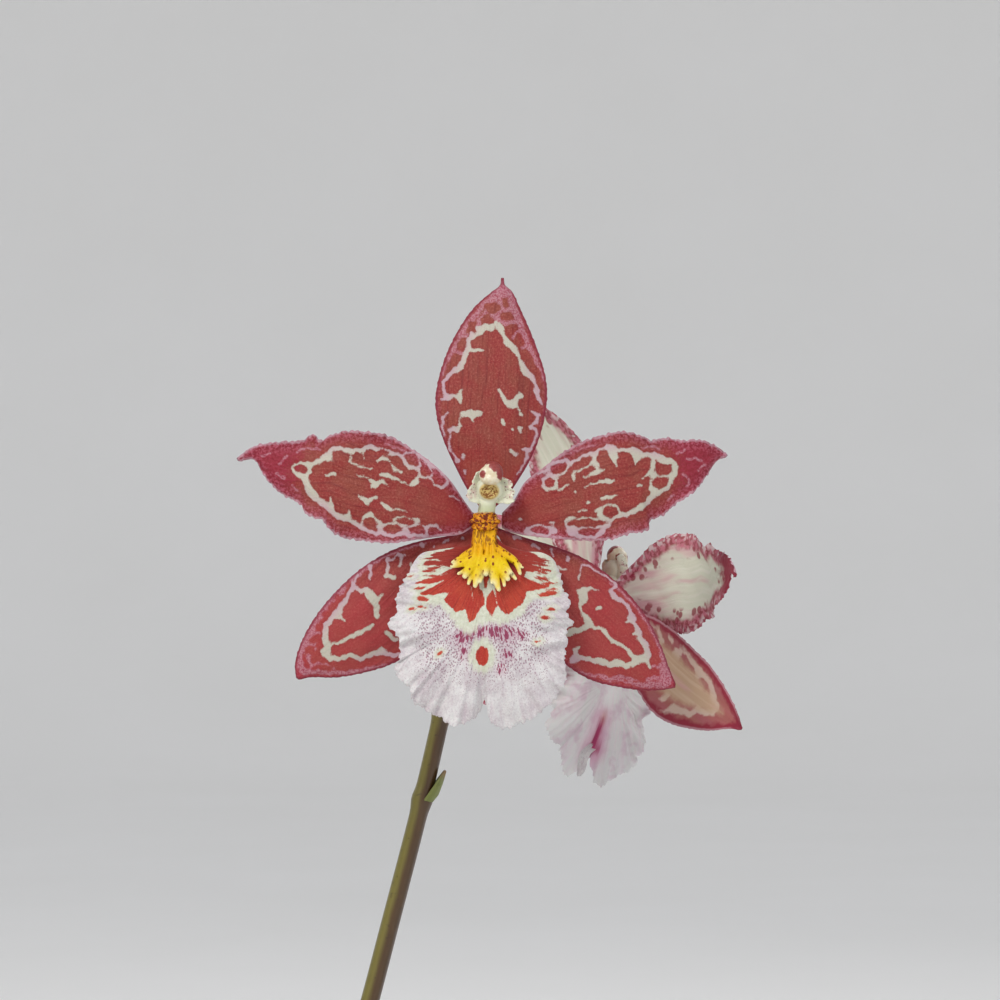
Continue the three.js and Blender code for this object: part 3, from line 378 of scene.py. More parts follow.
patches = woody.step(woody.noise(spot, 120.0, 4.0), 0.38, 0.66)
barked = woody.mix(woody.step(grain, 0.35, 0.68), dark_side, light_side)
barked = woody.wash(barked, patches, 0.5, tone(74, 44, 32))
dust = woody.step(woody.noise(spot, 700.0, 3.0), 0.62, 0.8)
woody.colour(woody.wash(barked, dust, 0.5, tone(176, 146, 116)))
woody.relief(grain, 0.9, 0.9)
for piece in (bark, heap):
    piece.data.materials.append(woody.material)
    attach(piece, "root")
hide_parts("bark_mix")

# The rhizome and roots: a creeping woody stem under the bulbs, and fleshy roots that loop over the bark and
# dive into it. A root is sheathed in silvery, spongy velamen with a fresh green tip.
ROOT_HEADINGS = (-160, -118, -72, -30, 10, 82, 140)
ROOT_RADIUS = 1.5
RHIZOME = [(-33, 16, 88), (-14, 6, 87), (4, -4, 88), (18, -2, 87), (36, -8, 88)]
RHIZOME_BRANCH = [(8, 0, 88), (16, 10, 88), (25, 22, 88)]


def points_at(share, table, line):
    """Points of a line at some shares of it, where the line is known at the shares in table."""
    return np.stack([np.interp(share, table, axis) for axis in line.T], 1)


def along(points, shares):
    """Points of a smooth line through the given ones, at shares of its length."""
    knots = np.array(points, float)
    knots = np.vstack([2 * knots[0] - knots[1], knots, 2 * knots[-1] - knots[-2]])
    gaps = np.sqrt(np.linalg.norm(np.diff(knots, axis=0), axis=1))[:, None]
    steps = np.diff(knots, axis=0)
    slopes = steps[:-1] / gaps[:-1] - (knots[2:] - knots[:-2]) / (gaps[:-1] + gaps[1:]) + steps[1:] / gaps[1:]
    t = np.linspace(0, 1, 24, endpoint=False)[:, None]
    fine = []
    for k in range(len(points) - 1):
        start, end = knots[k + 1], knots[k + 2]
        leave, arrive = slopes[k] * gaps[k + 1], slopes[k + 1] * gaps[k + 1]
        curve = (2 * t**3 - 3 * t**2 + 1) * start + (t**3 - 2 * t**2 + t) * leave
        fine.append(curve + (3 * t**2 - 2 * t**3) * end + (t**3 - t**2) * arrive)
    fine = np.vstack([*fine, knots[-2:-1]])
    run = np.r_[0, np.cumsum(np.linalg.norm(np.diff(fine, axis=0), axis=1))]
    return points_at(shares * run[-1], run, fine)


def mark(piece, **fields):
    """Stores a value, or a vector, for every point of a mesh."""
    for name, values in fields.items():
        vector = np.ndim(values) == 2
        layer = piece.data.attributes.new(name, "FLOAT_VECTOR" if vector else "FLOAT", "POINT")
        layer.data.foreach_set("vector" if vector else "value", np.asarray(values, np.float32).ravel())


def tube(name, points, radius, steps, sides):
    """A round closed body along a line. radius(share, angle) is in mm, and both ends are rounded off."""
    centre = along(points, np.linspace(0, 1, steps + 1))
    ahead = np.gradient(centre, axis=0)
    ahead /= np.linalg.norm(ahead, axis=1)[:, None]
    side = np.zeros_like(centre)
    last = np.cross(ahead[0], (0.3, 1.0, 0.2))
    for k, direction in enumerate(ahead):
        last = last - direction * (last @ direction)
        last /= np.linalg.norm(last)
        side[k] = last
    over = np.cross(ahead, side)
    length = np.linalg.norm(np.diff(centre, axis=0), axis=1).sum()

    def place(u, v):
        k = np.rint(u * steps).astype(int)
        angle = 2 * math.pi * v
        wide = radius(u, angle)
        to_end = np.minimum(u, 1 - u) * length
        wide = wide * np.sqrt(1 - (1 - np.clip(to_end / wide, 0, 1)) ** 2)
        return centre[k] + (side[k].T * np.cos(angle) * wide + over[k].T * np.sin(angle) * wide).T

    piece, u, v = skin(name, steps, sides, place)
    mark(piece, along=u, around=np.cos(2 * math.pi * v))
    weld(piece)
    return piece


def join(name, pieces):
    """Makes several pieces one object."""
    pick(*pieces)
    bpy.ops.object.join()
    pieces[0].name = pieces[0].data.name = name
    return pieces[0]


def root_route(number):
    """A root leaves the rhizome, loops over the bark and dives into it near the wall."""
    heading = math.radians(ROOT_HEADINGS[number])
    start = along(RHIZOME, np.array([0.1 + 0.8 * ((number * 3) % 7) / 7]))[0]
    reach = 32 + 3 * (number % 3)

    def out(distance, height):
        x = start[0] * 0.6 + distance * math.cos(heading)
        y = start[1] * 0.6 + distance * math.sin(heading)
        inside = min(1, (wall_radius(height) - 4.5) / math.hypot(x, y))
        return (x * inside, y * inside, height)

    return [tuple(start), out(17, BARK_TOP - 3), out(reach - 8, BARK_TOP + 3.4), out(reach, BARK_TOP + 1),
            out(reach + 3, BARK_TOP - 9), out(reach - 2, BARK_TOP - 42 - 6 * (number % 4))]


def knuckled(share, angle):
    return 4 + 0.35 * np.sin(share * 60) + 0.2 * np.sin(5 * angle)


strands = [tube("rhizome_stem", RHIZOME, knuckled, 60, 20)]
strands.append(tube("rhizome_branch", RHIZOME_BRANCH, knuckled, 30, 20))
for number in range(len(ROOT_HEADINGS)):
    def fleshy(share, angle, phase=number):
        swell = 1 + 0.07 * np.sin(share * 31 + phase) + 0.04 * np.sin(share * 77 + 2 * angle + phase)
        return ROOT_RADIUS * (1 - 0.4 * share) * swell
    strands.append(tube(f"root_{number}", root_route(number), fleshy, 90, 16))
roots = join("rhizome_and_roots_grown", strands)
velamen = Finish("velamen", 0.72)
spot = velamen.place()
silver = velamen.mix(velamen.noise(spot, 260.0, 4.0), tone(176, 178, 150), tone(206, 206, 188))
green = velamen.mix(velamen.noise(spot, 90.0), tone(120, 138, 78), tone(150, 158, 104))
rooty = velamen.mix(velamen.step(velamen.noise(spot, 55.0, 3.0), 0.45, 0.62), silver, green)
stained = velamen.step(velamen.noise(spot, 420.0, 3.0), 0.6, 0.74)
velamen.colour(velamen.wash(rooty, stained, 0.6, tone(128, 98, 66)))
velamen.relief(velamen.noise(spot, 1500.0, 3.0), 0.25, 0.6)
roots.data.materials.append(velamen.material)
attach(roots, "root")
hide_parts("rhizome_and_roots")

# The pseudobulbs: swollen, flattened stems that store water, each one year's growth of the rhizome. Old ones
# are furrowed where they have shrunk, and the papery bases of dead sheaths still clasp the foot of each.


def bulb_point(bulb, height_share, angle, swell):
    """The skin of a bulb, or of something that clasps it where swell is over 1."""
    profile = np.array([
        (0.5, 0), (0.88, 0.17), (1, 0.38), (0.93, 0.58), (0.7, 0.79), (0.4, 0.93), (0.25, 0.98),
    ])
    levels = np.linspace(0, 1, 60)
    line = along(profile, levels)
    share = np.clip(height_share, 0, 1)
    radius = np.interp(share, line[:, 1], line[:, 0]) * bulb["width"] * swell
    radius = radius * np.sqrt(np.clip((1 - share) / 0.02, 0, 1)) * np.sqrt(np.clip(share / 0.02, 0, 1))
    x, y = radius * np.cos(angle), radius * np.sin(angle) * BULB_FLATNESS
    turn, z = bulb["turn"], share * bulb["height"]
    return np.stack([
        x * math.cos(turn) - y * math.sin(turn) + bulb["at"][0] + bulb["lean"][0] * z,
        x * math.sin(turn) + y * math.cos(turn) + bulb["at"][1] + bulb["lean"][1] * z,
        BULB_BASE + z,
    ], 1)


flesh = Finish("bulb_skin", 0.38, Subsurface_Weight=0.08, Coat_Weight=0.15,
               Subsurface_Radius=(0.002, 0.003, 0.001))
spot = flesh.place()
lines = flesh.noise(flesh.stretch(spot, (700.0, 700.0, 26.0)), 1.0, 3.0)
skin_green = flesh.mix(lines, tone(104, 128, 56), tone(136, 156, 78))
yellowed = flesh.step(flesh.noise(spot, 34.0, 3.0), 0.42, 0.7)
skin_green = flesh.wash(skin_green, yellowed, 0.6, tone(164, 168, 92))
worn = flesh.step(flesh.noise(spot, 260.0, 5.0, 0.7), 0.6, 0.7)
skin_green = flesh.wash(skin_green, worn, 0.7, tone(96, 66, 44))
foot = flesh.step(flesh.read("along"), 0.22, 0.0)
flesh.colour(flesh.wash(skin_green, foot, 0.7, tone(112, 86, 48)))
flesh.relief(flesh.plus(lines, flesh.times(worn, -0.6)), 0.3, 0.5)

papery = Finish("dry_sheath", 0.7)
spot = papery.place()
fibres = papery.noise(papery.stretch(spot, (900.0, 900.0, 30.0)), 1.0, 4.0)
dry = papery.mix(fibres, tone(134, 104, 66), tone(196, 172, 126))
papery.colour(papery.mix(papery.step(papery.noise(spot, 90.0, 3.0), 0.5, 0.7), dry, tone(110, 80, 52)))
papery.relief(fibres, 0.4, 0.8)

for name, bulb in BULBS.items():
    age = {"flowering": 0.014, "older": 0.03, "oldest": 0.045}[name]

    def grown(u, v, bulb=bulb, age=age):
        angle = 2 * math.pi * v
        furrow = np.cos(11 * angle + 0.8 * np.sin(3 * u * 4)) + 0.5 * np.cos(17 * angle + 2)
        return bulb_point(bulb, u, angle, 1 + age * furrow * np.sin(math.pi * np.clip(u, 0, 1)) ** 0.7)

    piece, u, v = skin(f"{name}_bulb_grown", 90, 110, grown)
    mark(piece, along=u)
    weld(piece)
    piece.data.materials.append(flesh.material)
    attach(piece, "root")
    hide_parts(f"{name}_pseudobulb")

    def clasping(u, v, bulb=bulb):
        angle = 2 * math.pi * v
        torn = 0.27 + 0.07 * np.sin(3 * angle + bulb["turn"] * 9)
        torn = torn + 0.03 * np.sin(13 * angle) + 0.02 * np.sin(29 * angle)
        level = 0.03 + u * (torn - 0.03)
        return bulb_point(bulb, level, angle, 1.035 + 0.05 * u**3 + 0.012 * np.sin(9 * angle + 4 * u))

    collar, _, _ = skin(f"{name}_dry_sheath", 24, 150, clasping)
    weld(collar)
    apply(collar, "SOLIDIFY", thickness=0.35 * MM, offset=1.0)
    collar.data.materials.append(papery.material)
    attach(collar, "root")

# The strap leaves: leathery blades folded along the middle, glossy above, paler and matt below, with close
# straight veins. They rise from the tops of the bulbs and from sheaths beside them, and arch over.
LEAF_THICKNESS = 1.0


def bulb_top(name, dx, dy):
    bulb = BULBS[name]
    z = 0.97 * bulb["height"]
    return (bulb["at"][0] + bulb["lean"][0] * z + dx, bulb["at"][1] + bulb["lean"][1] * z + dy, BULB_BASE + z)


LEAVES = {
    "flowering_top_leaf_left": {"start": bulb_top("flowering", -5, 0.5), "heading": 165, "length": 190,
                                "width": 14, "rise": 84, "fall": -18, "fold": (62, 20), "twist": 0.25},
    "flowering_top_leaf_right": {"start": bulb_top("flowering", 4.5, -0.5), "heading": -14, "length": 176,
                                 "width": 14, "rise": 80, "fall": -24, "fold": (62, 20), "twist": -0.2},
    "flowering_side_leaf": {"start": (-21.5, -13, BARK_TOP - 2), "heading": 196, "length": 222,
                            "width": 15, "rise": 82, "fall": -30, "fold": (66, 22), "twist": 0.15},
    "older_top_leaf_rear": {"start": bulb_top("older", 4, 2.5), "heading": 90, "length": 178,
                            "width": 13.5, "rise": 80, "fall": -22, "fold": (60, 20), "twist": -0.2},
    "older_top_leaf_left": {"start": bulb_top("older", -4.5, -1), "heading": 156, "length": 168,
                            "width": 13.5, "rise": 72, "fall": -34, "fold": (60, 18), "twist": 0.2},
    "older_side_leaf": {"start": (-47, 19, BARK_TOP - 2), "heading": 172, "length": 150,
                        "width": 13, "rise": 74, "fall": -38, "fold": (64, 20), "twist": 0},
    "oldest_top_leaf": {"start": bulb_top("oldest", 1, 1), "heading": 42, "length": 186,
                        "width": 13.5, "rise": 76, "fall": -30, "fold": (60, 20), "twist": 0.2},
    "growth_leaf_outer": {"start": (43, -10, BARK_TOP - 2), "heading": -6, "length": 150,
                          "width": 12.5, "rise": 70, "fall": -36, "fold": (66, 20), "twist": 0},
    "growth_leaf_right": {"start": (36.5, -12.5, BARK_TOP - 2), "heading": -28, "length": 168,
                          "width": 12, "rise": 82, "fall": -6, "fold": (70, 24), "twist": -0.2, "foot": 0.3},
    "growth_leaf_front": {"start": (30, -17, BARK_TOP - 2), "heading": -84, "length": 128,
                          "width": 11, "rise": 80, "fall": 6, "fold": (70, 26), "twist": 0.25, "foot": 0.28},
}


def smooth(value):
    value = np.clip(value, 0, 1)
    return value * value * (3 - 2 * value)


def leaf_sheet(leaf):
    """The middle surface of a leaf, as a function of the share along it and of the place across, -1 to 1."""
    shares = np.linspace(-0.01, 1.01, 400)
    slope = np.radians(leaf["rise"] + (leaf["fall"] - leaf["rise"]) * np.clip(shares, 0, 1) ** 1.6)
    heading = math.radians(leaf["heading"])
    ahead = np.stack([np.cos(slope) * math.cos(heading), np.cos(slope) * math.sin(heading), np.sin(slope)], 1)
    steps = (ahead[1:] + ahead[:-1]) / 2 * np.diff(shares)[:, None] * leaf["length"]
    line = np.vstack([np.zeros(3), np.cumsum(steps, axis=0)])
    line += np.array(leaf["start"]) - [np.interp(0, shares, axis) for axis in line.T]
    level = np.array([-math.sin(heading), math.cos(heading), 0.0])

    def sheet(u, across):
        centre = points_at(u, shares, line)
        forward = points_at(u, shares, ahead)
        twist = (leaf["twist"] * u * u)[:, None]
        side = level * np.cos(twist) + np.cross(forward, level) * np.sin(twist)
        upper = np.cross(forward, side)
        foot = leaf.get("foot", 0.36)
        widen = foot + (1 - foot) * smooth(u / 0.42)
        reach = leaf["width"] * widen * np.clip(1 - np.clip(u, 0, 1) ** 3.4, 0, 1) ** 0.72 + 0.35
        fold = np.radians(leaf["fold"][0] + (leaf["fold"][1] - leaf["fold"][0]) * smooth(u / 0.55))
        crease = np.sqrt(across**2 + 0.004) - 0.06
        rise = crease * reach * np.sin(fold) * (1.12 - 0.12 * np.abs(across))
        wave = np.sin(u * leaf["length"] / 9 + 2 * np.sign(across)) * smooth(u * 4)
        rise = rise + 0.5 * np.abs(across) ** 3 * wave
        return centre + side * (across * reach * np.cos(fold))[:, None] + upper * rise[:, None]

    return sheet


def two_sided(piece, v):
    """Gives the first material to the faces in the first half of v, and the second one to the rest."""
    side = np.array([v[list(face.vertices)].mean() > 0.5 for face in piece.data.polygons], np.int32)
    piece.data.polygons.foreach_set("material_index", side)


def blade(name, rows, columns, sheet, thickness, facing):
    """A thin closed body round a middle surface sheet(u, across), with its front where facing says."""

    def place(u, v):
        turn = 2 * math.pi * v
        across = np.cos(turn)
        lean = 1e-3
        ahead = sheet(u + lean, across) - sheet(u - lean, across)
        aside = sheet(u, across + lean) - sheet(u, across - lean)
        normal = np.cross(ahead, aside) * facing
        normal /= np.maximum(np.linalg.norm(normal, axis=1), 1e-9)[:, None]
        ends = np.clip(np.minimum(u, 1 - u) / 0.012, 0, 1) ** 0.5
        half = thickness(u, across) / 2 * np.abs(np.sin(turn)) ** 0.75 * ends
        return sheet(u, across) + normal * (np.sign(np.sin(turn)) * half)[:, None]

    piece, u, v = skin(name, rows, columns, place)
    two_sided(piece, v)
    return piece, u, np.cos(2 * math.pi * v)


def leaf_finish(name, dark, light, roughness, gloss):
    finish = Finish(name, roughness, Subsurface_Weight=0.05, Coat_Weight=gloss, Coat_Roughness=0.25,
                    Subsurface_Radius=(0.001, 0.002, 0.0005))
    strip = finish.read("strip", "Vector")
    veins = finish.noise(finish.stretch(strip, (1.9, 0.02, 1.0)), 1.0, 2.0)
    close_veins = finish.noise(finish.stretch(strip, (6.0, 0.03, 1.0)), 1.0, 2.0)
    patch = finish.noise(finish.stretch(strip, (0.1, 0.03, 1.0)), 1.0, 3.0)
    green = finish.mix(finish.step(veins, 0.35, 0.65), dark, light)
    green = finish.wash(green, finish.step(patch, 0.45, 0.7), 0.5, tone(112, 138, 52))
    rib = finish.step(finish.maths("ABSOLUTE", finish.read("across")), 0.07, 0.0)
    green = finish.wash(green, rib, 0.6, tone(140, 164, 84))
    foot = finish.step(finish.read("along"), 0.12, 0.0)
    green = finish.wash(green, foot, 0.7, tone(164, 172, 104))
    tip = finish.step(finish.read("along"), 0.975, 1.0)
    green = finish.mix(tip, green, tone(120, 92, 50))
    specks = finish.step(finish.noise(finish.place(), 420.0, 3.0), 0.7, 0.76)
    finish.colour(finish.wash(green, specks, 0.6, tone(70, 54, 30)))
    finish.relief(finish.plus(veins, finish.times(close_veins, 0.5)), 0.25, 0.55)
    return finish.material


def leaf_body(u, across):
    """Thickest along the rib."""
    return LEAF_THICKNESS * (0.6 + 0.55 * np.exp(-((across / 0.14) ** 2)))


leaf_above = leaf_finish("leaf_above", tone(52, 92, 30), tone(78, 120, 42), 0.36, 0.25)
leaf_below = leaf_finish("leaf_below", tone(88, 124, 58), tone(112, 144, 76), 0.55, 0.0)
for name, leaf in LEAVES.items():
    piece, u, across = blade(f"{name}_blade", 110, 44, leaf_sheet(leaf), leaf_body, 1)
    strip = np.stack([across * leaf["width"], u * leaf["length"], np.full(len(u), leaf["heading"])], 1)
    mark(piece, strip=strip, along=u, across=across)
    weld(piece)
    piece.data.materials.append(leaf_above)
    piece.data.materials.append(leaf_below)
    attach(piece, "root")
    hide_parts(name)

# The flower spike: one wiry stem from the foot of the flowering bulb, olive on the side towards the key lamp
# and brown on the side away from it, partly a brown flush and partly painted shade, with a small scale at
# each joint. Each bloom's stalk swells into an ovary with six ribs.
SPIKE_RADIUS = 1.95
SCALE_THICKNESS = 0.5
SECOND_BLOOM_AT = np.array([50.0, 10.0, 393.0])
SECOND_BLOOM_TURN = math.radians(131)
SECOND_BLOOM_SCALE = 0.96
HEART = (-0.6, 0.0)
HEART_BACK = 2.6
SPIKE_ROUTE = [
    (-16, -22, 94), (-19, -24, 123), (-19, -20, 170), (-15, -12, 225), (-6, -5, 275), (5, -1, 318),
    (13.5, 0, 351), (18.5, 0.5, 373), (21.5, -0.5, 388), (22.5, -2, 396),
]
SCALES = {
    "spike_scale_low": {"at": 0.2, "heading": 3.4, "length": 22, "spread": 1.6},
    "spike_scale_middle": {"at": 0.5, "heading": -0.4, "length": 19, "spread": 1.8},
    "spike_scale_high": {"at": 0.851, "heading": 0.05, "length": 7.2, "spread": 1.0, "clasp": 75},
    "bloom_scale_lower": {"at": 0.914, "heading": 0.4, "length": 6, "spread": 1.2},
    "bloom_scale_upper": {"at": 0.965, "heading": -1.6, "length": 5.5, "spread": 1.4},
}


def spike_girth(share):
    return SPIKE_RADIUS * (1.15 - 0.22 * share)


def spike_radius(share, angle):
    """Slightly ribbed, and swollen at each joint."""
    joints = sum(0.22 * np.exp(-(((share - scale["at"]) / 0.006) ** 2)) for scale in SCALES.values())
    return spike_girth(share) * (1 + joints + 0.025 * np.cos(5 * angle))


def rear_of(at, turn, scale):
    """The back of a bloom's heart, where its stalk ends."""
    spot = Matrix.Rotation(turn, 3, "Z") @ Vector((HEART[0] * scale, HEART_BACK * scale, HEART[1] * scale))
    return tuple(at + np.array(spot))


STALKS = {
    "first_bloom_stalk": [(22, -1, 391), (24, -12, 399), (26.4, -24, 407), rear_of(FIRST_BLOOM_AT, 0, 1)],
    "second_bloom_stalk": [(18.5, 0.5, 374), (27, 0.5, 383), (38, 2.5, 391),
                           rear_of(SECOND_BLOOM_AT, SECOND_BLOOM_TURN, SECOND_BLOOM_SCALE)],
}


def stalk_radius(share, angle):
    """Swells into the ovary, with its six ribs."""
    swell = smooth((share - 0.25) / 0.5)
    return (1.15 + 0.6 * swell) * (1 + 0.09 * swell * np.cos(6 * angle))


green_stem = Finish("stem_skin", 0.42, Coat_Weight=0.1)
spot = green_stem.place()
streaks = green_stem.noise(green_stem.stretch(spot, (500.0, 500.0, 40.0)), 1.0, 4.0)
olive = green_stem.mix(streaks, tone(94, 86, 32), tone(116, 106, 44))
brown = green_stem.mix(streaks, tone(54, 34, 15), tone(86, 60, 28))
# Painted shade: the side turned away from the key lamp goes dark brown, partly the stem's own brown flush and
# partly painted shade.
flush_and_painted_shade = green_stem.plus(green_stem.read("flush"), green_stem.times(streaks, 0.5))
stemmy = green_stem.mix(green_stem.step(flush_and_painted_shade, -0.1, 0.38), olive, brown)
flecks = green_stem.step(green_stem.noise(spot, 900.0, 3.0), 0.6, 0.72)
green_stem.colour(green_stem.wash(stemmy, flecks, 0.5, tone(52, 34, 18)))
green_stem.relief(streaks, 0.2, 0.5)
stems = {"flower_spike": tube("flower_spike_grown", SPIKE_ROUTE, spike_radius, 300, 24)}
for name, route in STALKS.items():
    stems[name] = tube(f"{name}_grown", route, stalk_radius, 70, 36)
for name, piece in stems.items():
    normals = np.empty(len(piece.data.vertices) * 3)
    piece.data.vertices.foreach_get("normal", normals)
    # flush is the x of each normal. It is high on the side away from the key lamp, where the brown is partly
    # flush and partly painted shade.
    mark(piece, flush=normals[0::3])
    piece.data.materials.append(green_stem.material)
    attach(piece, "root")
    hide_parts(name)


def scale_body(u, across):
    """Thinner towards the tip."""
    return SCALE_THICKNESS * (1 - 0.5 * np.clip(u, 0, 1))


bract = Finish("green_scale", 0.5, Subsurface_Weight=0.06, Subsurface_Radius=(0.001, 0.001, 0.0005))
veins = bract.noise(bract.stretch(bract.read("strip", "Vector"), (4.0, 0.06, 1.0)), 1.0, 2.0)
scaly = bract.mix(veins, tone(94, 102, 42), tone(128, 134, 66))
tipped = bract.step(bract.plus(bract.read("along"), bract.times(veins, 0.3)), 0.8, 1.15)
bract.colour(bract.mix(tipped, scaly, tone(132, 102, 60)))
bract.relief(veins, 0.3, 0.7)
for name, scale in SCALES.items():
    middle = along(SPIKE_ROUTE, np.array([scale["at"]]))[0]
    onward = along(SPIKE_ROUTE, np.array([scale["at"] + 0.004]))[0] - middle
    onward /= np.linalg.norm(onward)
    out = np.array([math.cos(scale["heading"]), math.sin(scale["heading"]), 0.0])
    out -= onward * (out @ onward)
    out /= np.linalg.norm(out)
    aside = np.cross(onward, out)

    def clasp(u, across, scale=scale, middle=middle, onward=onward, out=out, aside=aside):
        half = np.radians(scale.get("clasp", 95) * np.clip(1 - u, 0, 1) ** 0.55 + 8)
        angle = across * half
        foot = spike_girth(scale["at"]) + 0.25 + 0.5 * smooth(u / 0.3)
        radius = foot + scale["spread"] * u * (1 - 0.45 * u * u) + 0.3 * np.exp(-((across / 0.15) ** 2)) * u
        spread = out * (np.cos(angle) * radius)[:, None] + aside * (np.sin(angle) * radius)[:, None]
        return middle + onward * (scale["length"] * u)[:, None] + spread

    piece, u, across = blade(f"{name}_grown", 40, 40, clasp, scale_body, 1)
    mark(piece, strip=np.stack([across * 4, u * scale["length"], u * 0], 1), along=u)
    weld(piece)
    piece.data.materials.append(bract.material)
    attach(piece, "root")
    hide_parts(name)

# The sepals and petals: five fleshy, thin-edged blades round each bloom's heart. Their faces are brick red
# with a net of cream, crimson towards the tips, and crimped and lilac at the rim. Their backs are cream,
# flushed pink.
PETAL_THICKNESS = 0.7
TEPAL_EDGE_LENGTH = 52
BLOOMS = {
    "first_bloom": (FIRST_BLOOM_AT, 0.0, 1.0),
    "second_bloom": (SECOND_BLOOM_AT, SECOND_BLOOM_TURN, SECOND_BLOOM_SCALE),
}
